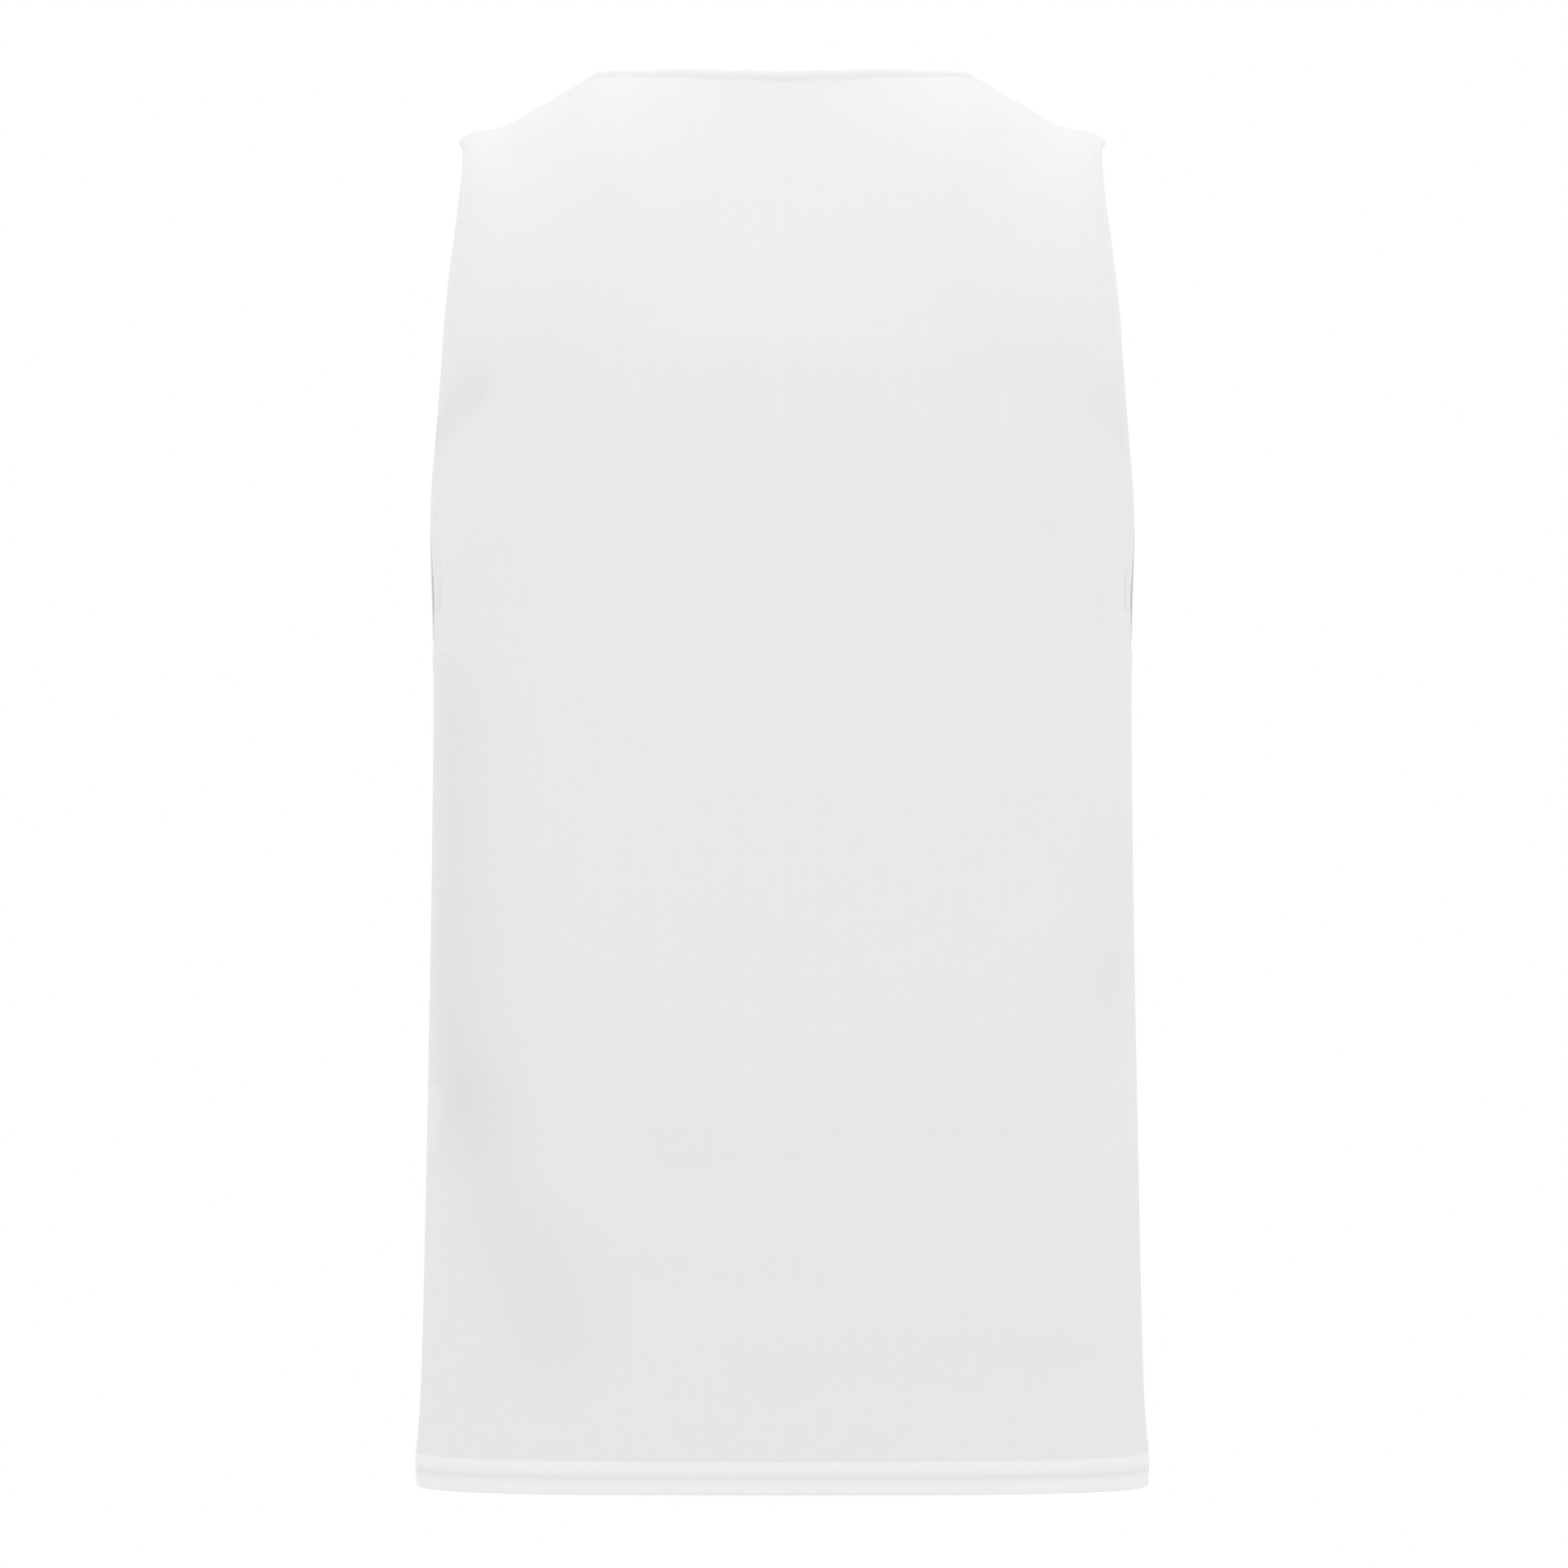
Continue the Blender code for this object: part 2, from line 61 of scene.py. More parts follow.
def rows_of(row_type, *rows):
    """A short table whose columns have the row type's names."""
    return tuple(row_type(*row) for row in rows)


# ---- The form's sizes. Heights are measured up from the hem's edge. ----
HEM_Z = -0.714  # the hem's edge in the frame, whose origin is where the straps rest
UNDERARM = 0.440
YOKE = 0.602  # height where the shoulder blades and the chest start to lean in
NECK_HALF = 0.0980  # centre line to neck point
NECK_HEIGHT = 0.7505
NECK_SLOPE = -0.58
NECK_SHARE = 0.467  # share of a row's half that ends on the neckline, the rest on the strap
SEAM_BACK = 0.0080  # how far the shoulder seam lies behind the ridge of the shoulder
SOLID_WALL = 0.0012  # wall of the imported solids, whose inner face the form's points lie on

# The outer face of the body: half its width, how far back and front stand from the centre
# plane, and how square the ring is, where 2 is an ellipse. Above the underarm the width
# comes from the armhole's edge.
Section = namedtuple("Section", "height half_width back front squareness")
SECTIONS = rows_of(
    Section,
    (0.000, 0.1944, 0.1180, 0.1170, 3.5),
    (0.012, 0.1948, 0.1174, 0.1165, 3.4),
    (0.040, 0.1930, 0.1164, 0.1158, 3.3),
    (0.082, 0.1916, 0.1156, 0.1152, 3.2),
    (0.172, 0.1897, 0.1150, 0.1150, 3.1),
    (0.292, 0.1875, 0.1154, 0.1160, 3.0),
    (0.392, 0.1862, 0.1172, 0.1182, 3.0),
    (0.440, 0.1861, 0.1186, 0.1200, 3.0),
    (0.512, 0.1861, 0.1206, 0.1222, 3.1),
    (0.572, 0.1861, 0.1216, 0.1226, 3.2),
    (0.602, 0.1861, 0.1208, 0.1216, 3.3),
    (0.632, 0.1861, 0.1140, 0.1170, 3.3),
)

# The armhole's two edges from the underarm up to the yoke, as width and depth from the
# centre planes.
Armhole = namedtuple("Armhole", "height back_x back_y front_x front_y")
ARMHOLE = rows_of(
    Armhole,
    (0.4400, 0.1861, 0.0000, 0.1861, 0.0000),
    (0.4401, 0.1861, 0.0020, 0.1861, 0.0021),
    (0.4405, 0.1860, 0.0045, 0.1861, 0.0047),
    (0.4411, 0.1859, 0.0067, 0.1862, 0.0070),
    (0.442, 0.1857, 0.0090, 0.1863, 0.0095),
    (0.448, 0.1850, 0.0190, 0.1868, 0.0200),
    (0.458, 0.1843, 0.0290, 0.1874, 0.0310),
    (0.472, 0.1840, 0.0390, 0.1882, 0.0420),
    (0.492, 0.1850, 0.0485, 0.1893, 0.0530),
    (0.511, 0.1857, 0.0550, 0.1899, 0.0605),
    (0.529, 0.1850, 0.0600, 0.1889, 0.0660),
    (0.550, 0.1831, 0.0645, 0.1873, 0.0705),
    (0.572, 0.1813, 0.0675, 0.1857, 0.0740),
    (0.602, 0.1789, 0.0690, 0.1836, 0.0760),
    (0.632, 0.1760, 0.0665, 0.1810, 0.0745),
)

# The neck: the middle of the form's own top, where no cloth is, then how far the neckline
# stands from the centre plane in the middle and how square it is seen from above.
Neck = namedtuple("Neck", "height depth cut squareness")
NECKS = {
    BACK: Neck(0.785, 0.046, 0.0617, 2.0),
    FRONT: Neck(0.765, 0.028, 0.1044, 3.2),
}

# The shoulder seam from the neck point out to the tip.
Shoulder = namedtuple("Shoulder", "share half_width height")
SHOULDER = rows_of(
    Shoulder,
    (0.00, NECK_HALF, NECK_HEIGHT), (0.10, 0.1040, 0.7465), (0.25, 0.1150, 0.7387),
    (0.45, 0.1315, 0.7294), (0.60, 0.1435, 0.7225), (0.75, 0.1550, 0.7190),
    (0.90, 0.1660, 0.7172), (1.00, 0.1712, 0.7118),
)

# How the cloth sets off from the yoke and how it arrives at the neck or the shoulder seam:
# lean towards the ridge and rise, for the columns at these shares of a row's half.
Lean = namedtuple("Lean", "share set_off arrive_lean arrive_rise arrive_spread pull")
LEANS = {
    BACK: rows_of(
        Lean,
        (0.000, 0.30, 1.00, 2.55, 0.00, 1.00),
        (0.117, 0.29, 1.00, 1.60, 0.00, 1.00),
        (0.234, 0.27, 1.00, 0.74, 0.00, 1.00),
        (0.350, 0.24, 1.00, 0.34, 0.00, 1.08),
        (0.467, 0.23, 1.00, 0.20, 0.00, 1.30),
        (0.700, 0.12, 1.00, 0.20, 0.00, 1.10),
        (1.000, 0.03, 1.00, 0.10, 0.20, 0.95),
    ),
    FRONT: rows_of(
        Lean,
        (0.000, 0.22, 1.00, 0.85, 0.00, 1.00),
        (0.250, 0.18, 1.00, 0.50, 0.00, 1.00),
        (0.467, 0.12, 1.00, -0.20, 0.00, 1.00),
        (0.700, 0.06, 1.00, -0.18, 0.00, 1.10),
        (1.000, -0.02, 1.00, -0.08, 0.20, 1.00),
    ),
}

# Soft folds: a trough (below 0) or a ridge along a line from one place to another, given
# by the distance across from the centre line and the height.
# Their troughs also darken the cloth's colour as painted shade.
Fold = namedtuple("Fold", "across_1 height_1 across_2 height_2 width depth")
FOLDS = {
    BACK: rows_of(
        Fold,
        (-0.174, 0.190, -0.122, 0.082, 0.022, -0.0040),
        (-0.202, 0.400, -0.192, 0.215, 0.030, -0.0050),
        (0.198, 0.325, 0.190, 0.265, 0.020, -0.0026),
        (-0.180, 0.575, -0.110, 0.600, 0.014, -0.0010),
        (0.180, 0.575, 0.110, 0.600, 0.014, -0.0010),
        (-0.060, 0.178, 0.120, 0.186, 0.016, -0.0010),
        # finer than the solids have
        (-0.196, 0.556, -0.168, 0.577, 0.0080, -0.0034),
        (0.196, 0.555, 0.176, 0.568, 0.0075, -0.0026),
        (-0.1985, 0.549, -0.1960, 0.566, 0.0011, -0.0034),
        (0.176, 0.470, 0.184, 0.440, 0.0050, -0.0010),
        (-0.236, 0.402, -0.228, 0.330, 0.0090, -0.0014),
        (-0.214, 0.300, -0.190, 0.215, 0.0110, -0.0012),
        (0.236, 0.330, 0.226, 0.272, 0.0080, -0.0012),
        (0.120, 0.520, 0.142, 0.500, 0.0130, -0.0009),
        (-0.120, 0.118, 0.020, 0.112, 0.0100, -0.0006),
        (-0.020, 0.062, 0.150, 0.070, 0.0110, -0.0007),
        (0.060, 0.150, 0.190, 0.142, 0.0090, -0.0005),
        (-0.200, 0.150, -0.110, 0.166, 0.0100, 0.0006),
        (0.118, 0.716, 0.150, 0.702, 0.0050, -0.0008),
        (-0.118, 0.716, -0.150, 0.702, 0.0050, -0.0008),
    ),
    FRONT: rows_of(
        Fold,
        (-0.190, 0.500, -0.080, 0.440, 0.022, -0.0030),
        (0.185, 0.510, 0.095, 0.420, 0.020, -0.0026),
        (0.215, 0.290, 0.110, 0.070, 0.028, -0.0034),
        (-0.200, 0.240, -0.150, 0.080, 0.024, -0.0026),
        (-0.050, 0.120, 0.060, 0.110, 0.020, -0.0012),
        # finer than the solids have
        (-0.184, 0.500, -0.140, 0.470, 0.0080, -0.0014),
        (0.186, 0.512, 0.150, 0.488, 0.0070, -0.0012),
        (0.232, 0.390, 0.226, 0.320, 0.0090, -0.0013),
        (-0.236, 0.360, -0.224, 0.250, 0.0100, -0.0013),
        (-0.090, 0.070, 0.040, 0.058, 0.0110, -0.0007),
        (0.060, 0.100, 0.170, 0.112, 0.0100, -0.0006),
        (-0.030, 0.560, 0.020, 0.530, 0.0140, -0.0008),
        (0.130, 0.700, 0.150, 0.660, 0.0060, -0.0008),
        (-0.126, 0.690, -0.150, 0.655, 0.0060, -0.0008),
    ),
}

# How far the cloth's outer face stands off the form, at a distance from an edge or a seam,
# and how thick the cloth is there with what is folded under it.
Raise = namedtuple("Raise", "distance stand thick")
HEM = rows_of(
    Raise,
    (0.0000, 0.0014, 0.0010), (0.0006, 0.0020, 0.0015), (0.0020, 0.0024, 0.0019),
    (0.0045, 0.0025, 0.0020), (0.0065, 0.0023, 0.0018), (0.0080, 0.0020, 0.0015),
    (0.0090, 0.0019, 0.0014), (0.0100, 0.0020, 0.0015), (0.0118, 0.0023, 0.0017),
    (0.0140, 0.0024, 0.0018), (0.0156, 0.0022, 0.0016), (0.0166, 0.0018, 0.0012),
    (0.0176, 0.0012, 0.0007), (0.0192, 0.0012, 0.0007),
)
NECK_EDGE = rows_of(
    Raise,
    (0.0000, 0.0012, 0.0009), (0.0004, 0.0017, 0.0012), (0.0014, 0.0020, 0.0015),
    (0.0030, 0.0020, 0.0014), (0.0040, 0.0018, 0.0012), (0.0046, 0.0015, 0.0009),
    (0.0053, 0.0015, 0.0009), (0.0060, 0.0012, 0.0007), (0.0070, 0.0012, 0.0007),
)
ARMHOLE_EDGE = rows_of(
    Raise,
    (0.0000, 0.0012, 0.0009), (0.0005, 0.0017, 0.0012), (0.0018, 0.0021, 0.0015),
    (0.0042, 0.0021, 0.0014), (0.0056, 0.0018, 0.0012), (0.0063, 0.0015, 0.0009),
    (0.0070, 0.0016, 0.0009), (0.0078, 0.0012, 0.0007), (0.0090, 0.0012, 0.0007),
)
SIDE_SEAM = rows_of(
    Raise,
    (0.0000, 0.0004, 0.0007), (0.0005, 0.0009, 0.0007), (0.0014, 0.0014, 0.0007),
    (0.0035, 0.0015, 0.0007), (0.0060, 0.0014, 0.0007), (0.0080, 0.0012, 0.0007),
    (0.0100, 0.0012, 0.0007),
)
SHOULDER_SEAM = rows_of(
    Raise,
    (0.0000, 0.0005, 0.0007), (0.0005, 0.0010, 0.0007), (0.0016, 0.0016, 0.0007),
    (0.0035, 0.0017, 0.0007), (0.0060, 0.0015, 0.0007), (0.0080, 0.0012, 0.0007),
    (0.0100, 0.0012, 0.0007),
)
PLAIN = Raise(0.0, SOLID_WALL, 0.0007)  # the single cloth, away from every edge and seam
# Where the neck edge runs into the shoulder seam, both are pressed flat.
CORNER_FLAT, CORNER_STAND, CORNER_THICK = 0.012, 0.0009, 0.0004
NECK_RUN = 0.135  # length of half a neckline
HEM_NEEDLE, NECK_NEEDLE, ARMHOLE_NEEDLE = 0.0090, 0.0046, 0.0063  # stitch lines from the edge
# How much higher the back's neck edge lies than the form, from its middle outwards.
Trim = namedtuple("Trim", "across rise")
NECK_TRIM = rows_of(
    Trim,
    (0.0000, 0.00035), (0.0096, -0.00115), (0.0196, -0.00035), (0.0340, 0.00055),
    (0.0550, 0.00020), (0.0700, 0.00000), (0.0850, 0.00030), (0.0960, 0.00030),
    (0.1050, 0.00000),
)
NECK_TRIM_FROM, NECK_TRIM_OVER = 0.7325, 0.015  # heights over which it sets in
# The front's cloth is lower beside the neck point: where, how wide and how far.
RIDGE_PLACE, RIDGE_WIDTH, RIDGE_DROP = (0.0970, 0.0020), 0.010, 0.0010
# How wide the turned edges are, and how far the cloth under them fills their holes.
HEM_SOLID, HEM_FILLED = 0.0172, 1.0
NECK_SOLID, NECK_FILLED = 0.0052, 0.6
ARMHOLE_SOLID, ARMHOLE_FILLED = 0.0072, 0.8
# Painted shade along the soft grooves that the needle lines press in: where, how wide and how deep
# they look.
Groove = namedtuple("Groove", "middle width depth")
HEM_GROOVE_SHADE = Groove(0.0089, 0.0042, 0.0062)
NECK_GROOVE_SHADE = Groove(0.0050, 0.0030, 0.0028)
# The hem rises a little at the side seams.
HEM_LIFT, HEM_LIFT_WIDTH, HEM_LIFT_HEIGHT = 0.0065, 0.040, 0.090

LABEL_LOW, LABEL_HIGH = 0.178, 0.212
LABEL_REACH, LABEL_DROOP = 0.046, 0.003  # from the side seam, and how far its free end hangs down
LABEL_CLEAR = 0.0012  # from the form

# ---- The grids ----
# Where a column ends along the top edge, for its share of a half row up to the yoke: 0 at
# the centre line, 1 at the neck point and 2 at the shoulder tip.
Column = namedtuple("Column", "share end")
CORNER_SHARE = 0.570
NECK_COLUMNS = rows_of(
    Column,
    (0.000, 0.00), (0.140, 0.24), (0.280, 0.48), (0.405, 0.70),
    (0.515, 0.90), (CORNER_SHARE, 1.00),
)
STRAP_COLUMNS = rows_of(
    Column,
    (0.580, 1.16), (0.620, 1.28), (0.670, 1.41), (0.720, 1.52),
    (0.770, 1.62), (0.820, 1.71), (0.875, 1.81),
)
NECK_SPACES, STRAP_SPACES = 46, 26
# Distances from the armhole's edge and from the top edge at which the grid has a line.
EDGE_STEPS = (
    0.0120, 0.0098, 0.0086, 0.0078, 0.0070, 0.0063, 0.0056, 0.0046, 0.0034, 0.0022, 0.0012, 0.0005,
    0.0,
)
TOP_STEPS = (
    0.0110, 0.0088, 0.0074, 0.0064, 0.0058, 0.0052, 0.0046, 0.0039, 0.0030, 0.0020, 0.0012, 0.0005,
    0.0,
)
HEM_ROWS = tuple(step.distance for step in HEM)
BODY_STEP = 0.0042
# Heights of the rows from the underarm, below it and beside the armhole.
UNDERARM_ROWS = (
    -0.0120, -0.0095, -0.0080, -0.0070, -0.0061, -0.0050, -0.0036, -0.0022, -0.0010, 0.0,
)
ARMHOLE_ROWS = (
    0.0001, 0.0004, 0.0009, 0.0016, 0.0026, 0.0038, 0.0052, 0.0070, 0.0092, 0.0118, 0.0148, 0.0182,
    0.0222, 0.0268, 0.0320, 0.0376, 0.0436, 0.0498, 0.0562, 0.0628, 0.0694, 0.0760, 0.0826, 0.0892,
    0.0958, 0.1024, 0.1090, 0.1156, 0.1222, 0.1288, 0.1352, 0.1412, 0.1468, 0.1522, 0.1572, 0.1620,
)
YOKE_SPACES = 46
STRAP_INNER = 0.85  # share of the shoulder seam over which columns shift to clear the neck edge
ARC_SAMPLES, NECK_SAMPLES = 120, 64
HALVINGS = 26  # of a span in which a place is looked for
EDGE_HEIGHTS = tuple(UNDERARM + i * 0.001 for i in range(163))  # where the armhole is tried
MITRE_FROM = 0.7  # share of the neckline past which its rows may meet the shoulder seam's
NUDGE, OUTWARD = 0.002, 0.03  # small steps, to find which way the form runs


# ---- Curves through tables ----
def read(table, at):
    """The row of a table at a value of its first column, on a smooth curve through its rows."""
    places = [row[0] for row in table]
    last = len(table) - 1
    k = min(max(bisect.bisect_right(places, at) - 1, 0), last - 1)
    low, high = table[k], table[k + 1]
    span = high[0] - low[0]
    t = (at - low[0]) / span
    values = []
    for column in range(len(low)):

        def slope(i):
            before, after = table[max(i - 1, 0)], table[min(i + 1, last)]
            return (after[column] - before[column]) / (after[0] - before[0])

        values.append(
            (1 + 2 * t) * (1 - t) ** 2 * low[column]
            + t * (1 - t) ** 2 * span * slope(k)
            + t * t * (3 - 2 * t) * high[column]
            + t * t * (t - 1) * span * slope(k + 1)
        )
    return type(low)(*values)


def corner(turn, squareness):
    """A point on a quarter of a superellipse: how far out and how far forward, 1 at each end."""
    out, ahead = math.sin(turn), math.cos(turn)
    reach = (abs(out) ** squareness + abs(ahead) ** squareness) ** (-1 / squareness)
    return out * reach, ahead * reach


class Row:
    """One level of a panel below the yoke, from the centre line out to the seam or armhole.

    It is a ring of the form, cut off where it comes within edge_y of the centre plane.
    """

    def __init__(self, side, height):
        section = read(SECTIONS, height)
        self.height, self.side, self.squareness = height, side, section.squareness
        self.depth = (section.back if side == BACK else section.front) - SOLID_WALL
        edge_x, edge_y = section.half_width, 0.0
        if height > UNDERARM:
            edge = read(ARMHOLE, height)
            edge_x, edge_y = (
                (edge.back_x, edge.back_y) if side == BACK else (edge.front_x, edge.front_y)
            )
        ahead = edge_y / self.depth
        out = (1 - ahead**self.squareness) ** (1 / self.squareness)
        self.half_width = (edge_x - SOLID_WALL) / out
        last = math.atan2(out, ahead)
        self.turns = [i * last / ARC_SAMPLES for i in range(ARC_SAMPLES + 1)]
        self.lengths = [0.0]
        points = [self.at_turn(turn) for turn in self.turns]
        for a, b in zip(points, points[1:]):
            self.lengths.append(self.lengths[-1] + (b - a).length)

    @property
    def length(self):
        return self.lengths[-1]

    def at_turn(self, turn):
        out, ahead = corner(turn, self.squareness)
        return Vector((self.half_width * out, self.side * self.depth * ahead, self.height))

    def at(self, share):
        """The point at this share of the row's own length."""
        wanted = share * self.length
        k = min(max(bisect.bisect_right(self.lengths, wanted) - 1, 0), ARC_SAMPLES - 1)
        part = (wanted - self.lengths[k]) / (self.lengths[k + 1] - self.lengths[k])
        return self.at_turn(self.turns[k] + part * (self.turns[k + 1] - self.turns[k]))


# ---- The yoke: from the shoulder blades or the chest to the neck and the shoulder seam ----
def top_edge(side, share):
    """Where a column ends: on the shoulder seam, or further in on the form's own top."""
    if share >= NECK_SHARE:
        seam = read(SHOULDER, (share - NECK_SHARE) / (1 - NECK_SHARE))
        return Vector((seam.half_width, -SEAM_BACK, seam.height))
    neck = NECKS[side]
    s = share / NECK_SHARE
    ease = s * s * (3 - 2 * s)
    fall = s * s * (s - 1) * NECK_SLOPE * NECK_HALF
    return Vector((
        NECK_HALF * s,
        side * neck.depth * (1 - ease) - SEAM_BACK * ease,
        neck.height * (1 - ease) + NECK_HEIGHT * ease + fall,
    ))


def yoke_point(side, share, t, row, row_below):
    """A point t of the way from the yoke to the top edge, on a curve with set ends."""
    start, end = row.at(share), top_edge(side, share)
    lean = read(LEANS[side], share)
    reach = (end - start).length * lean.pull
    spread = (start.x - row_below.at(share).x) / (row.height - row_below.height)
    leave = Vector((spread, -side * lean.set_off, 1)) * reach
    arrive = Vector((lean.arrive_spread, -side * lean.arrive_lean, lean.arrive_rise))
    arrive = arrive.normalized() * reach
    return (
        start * (1 + 2 * t) * (1 - t) ** 2
        + leave * t * (1 - t) ** 2
        + end * t * t * (3 - 2 * t)
        + arrive * t * t * (t - 1)
    )


def up(share, climb):
    """A place on the yoke, as across and height."""
    return share, YOKE + climb


NeckPlace = namedtuple("NeckPlace", "along share climb")
SHOULDER_NECK, SHOULDER_TIP = top_edge(BACK, NECK_SHARE), top_edge(BACK, 1.0)


class Panel:
    """The inner face of one panel, before its folds."""

    def __init__(self, side):
        self.side = side
        self.rows, self.mitres = {}, {}
        self.neck = []

    def row(self, height):
        if height not in self.rows:
            self.rows[height] = Row(self.side, height)
        return self.rows[height]

    def point(self, across, height):
        """across runs from -1 to 1, and height above the yoke counts on to yoke + 1."""
        share = abs(across)
        if height <= YOKE:
            place = self.row(height).at(share)
        else:
            t = height - YOKE
            place = yoke_point(self.side, share, t, self.row(YOKE), self.row(ARMHOLE_ROWS[-2]))
        place.x = math.copysign(place.x, across) if across else 0.0
        return place

    def turned_from(self, level, width):
        """The share where an edge of this width begins, all the way round the armhole."""
        length = self.row(level).length
        inside = length - width
        for height in EDGE_HEIGHTS:
            beside = width * width - (level - height) ** 2
            if beside > 0:
                inside = min(inside, self.row(height).length - math.sqrt(beside))
        return inside / length

    def neck_place(self, turn):
        """The neckline at a turn from its middle: the share, and how far up the yoke it is."""
        neck = NECKS[self.side]
        out, ahead = corner(turn, neck.squareness)
        share = NECK_SHARE * out
        seam_y = SHOULDER_NECK.y
        wanted = seam_y + (self.side * neck.cut - seam_y) * ahead
        low, high = 0.0, 1.0
        for _ in range(HALVINGS):
            middle = (low + high) / 2
            if (self.point(share, YOKE + middle).y - wanted) * self.side > 0:
                low = middle
            else:
                high = middle
        return share, high

    def neckline(self, along):
        """The share and the height at this share of the neckline's own length."""
        if not self.neck:
            turns = [i * math.pi / 2 / NECK_SAMPLES for i in range(NECK_SAMPLES + 1)]
            places = [self.neck_place(turn) for turn in turns]
            points = [self.point(share, YOKE + climb) for share, climb in places]
            run = [0.0]
            for a, b in zip(points, points[1:]):
                run.append(run[-1] + (b - a).length)
            self.neck = [NeckPlace(r / run[-1], *place) for r, place in zip(run, places)]
        place = read(self.neck, along)
        return place.share, place.climb

    def inset(self, along, distance):
        """The place this far in from the neckline, square to it."""
        share, climb = self.neckline(along)
        ahead = self.point(*up(*self.neckline(min(along + NUDGE, 1.0))))
        behind = self.point(*up(*self.neckline(max(along - NUDGE, 0.0))))
        height = YOKE + climb
        by_share = (self.point(share + OUTWARD, height) - self.point(share, height)) / OUTWARD
        by_climb = (self.point(share, height) - self.point(share, height - NUDGE)) / NUDGE
        if share < NUDGE:
            return share, climb - distance / by_climb.length
        inward = (ahead - behind).cross(by_share.cross(by_climb)).normalized() * distance
        aa, bb, ab = by_share.dot(by_share), by_climb.dot(by_climb), by_share.dot(by_climb)
        a, b = by_share.dot(inward), by_climb.dot(inward)
        clear = aa * bb - ab * ab
        return share + (a * bb - b * ab) / clear, climb + (b * aa - a * ab) / clear

    def below_seam(self, share, distance):
        """The climb this far below the shoulder seam."""
        step = self.point(share, YOKE + 1) - self.point(share, YOKE + 1 - NUDGE)
        return 1 - distance * NUDGE / step.length

    def mitre(self, distance):
        """Where a line this far in from the neckline meets the one as far below the seam."""
        if distance not in self.mitres:
            low, high = MITRE_FROM, 1.0
            for _ in range(HALVINGS):
                middle = (low + high) / 2
                share, climb = self.inset(middle, distance)
                if climb < self.below_seam(share, distance):
                    low = middle
                else:
                    high = middle
            self.mitres[distance] = low, self.inset(low, distance)[0]
        return self.mitres[distance]

    def end_place(self, end, distance):
        """The share and the climb this far in from the top edge, at a column's end."""
        along, corner_share = self.mitre(distance)
        if end <= 1:
            return self.inset(end * along, distance)
        drawn_in = max(1 - (end - 1) / STRAP_INNER, 0.0) * (corner_share - NECK_SHARE)
        share = NECK_SHARE + (1 - NECK_SHARE) * (end - 1) + drawn_in
        return share, self.below_seam(share, distance)

    def normal(self, across, height):
        """The way out of the form."""
        low = max(height - NUDGE, 0.0)
        high = min(height + NUDGE, YOKE if height <= YOKE else YOKE + 1.0)
        left, right = max(across - NUDGE, -1.0), min(across + NUDGE, 1.0)
        along = self.point(right, height) - self.point(left, height)
        up = self.point(across, high) - self.point(across, low)
        return (along.cross(up) * -self.side).normalized()


def fold_depth(fold, distance, height):
    """The depth of a fold here: deepest along its line, fading to both sides and past its ends."""
    along = (fold.across_2 - fold.across_1, fold.height_2 - fold.height_1)
    length = math.hypot(*along)
    from_start = (distance - fold.across_1, height - fold.height_1)
    run = (from_start[0] * along[0] + from_start[1] * along[1]) / length
    off = abs(from_start[0] * along[1] - from_start[1] * along[0]) / length
    past = max(-run, run - length, 0.0)
    return fold.depth * math.exp(-(off * off + past * past) / (2 * fold.width**2))


# ---- The cloth's finer form ----
def raised(table, distance):
    """How far the cloth stands off and how thick it is, at a distance from an edge or a seam."""
    return PLAIN if distance >= table[-1].distance else read(table, distance)


def cloth_here(from_hem, from_neck, from_armhole, from_side, from_shoulder):
    """The stand and the thickness of the cloth where several edges and seams may meet."""
    stand, thick = PLAIN.stand, PLAIN.thick
    for table, distance in (
        (HEM, from_hem),
        (NECK_EDGE, from_neck),
        (ARMHOLE_EDGE, from_armhole),
    ):
        here = raised(table, distance)
        stand += here.stand - PLAIN.stand
        thick += here.thick - PLAIN.thick
    for table, distance in ((SIDE_SEAM, from_side), (SHOULDER_SEAM, from_shoulder)):
        stand += raised(table, distance).stand - PLAIN.stand
    return max(stand, LEAST_STAND), thick


LEAST_STAND = 0.0003
FAR = 1.0  # from every edge and seam
UNDERARM_FLAT, FLATTENED = 0.5, 0.010  # the edge is pulled flat where it meets the side seam
FOLD_FADE = 0.020  # the folds fade out over this distance from a seam or an edge
YOKE_CLIMB = 0.16  # about the length of the cloth from the yoke to the shoulder seam
DRAW_IN = 6  # how strongly only the outer columns follow the armhole in


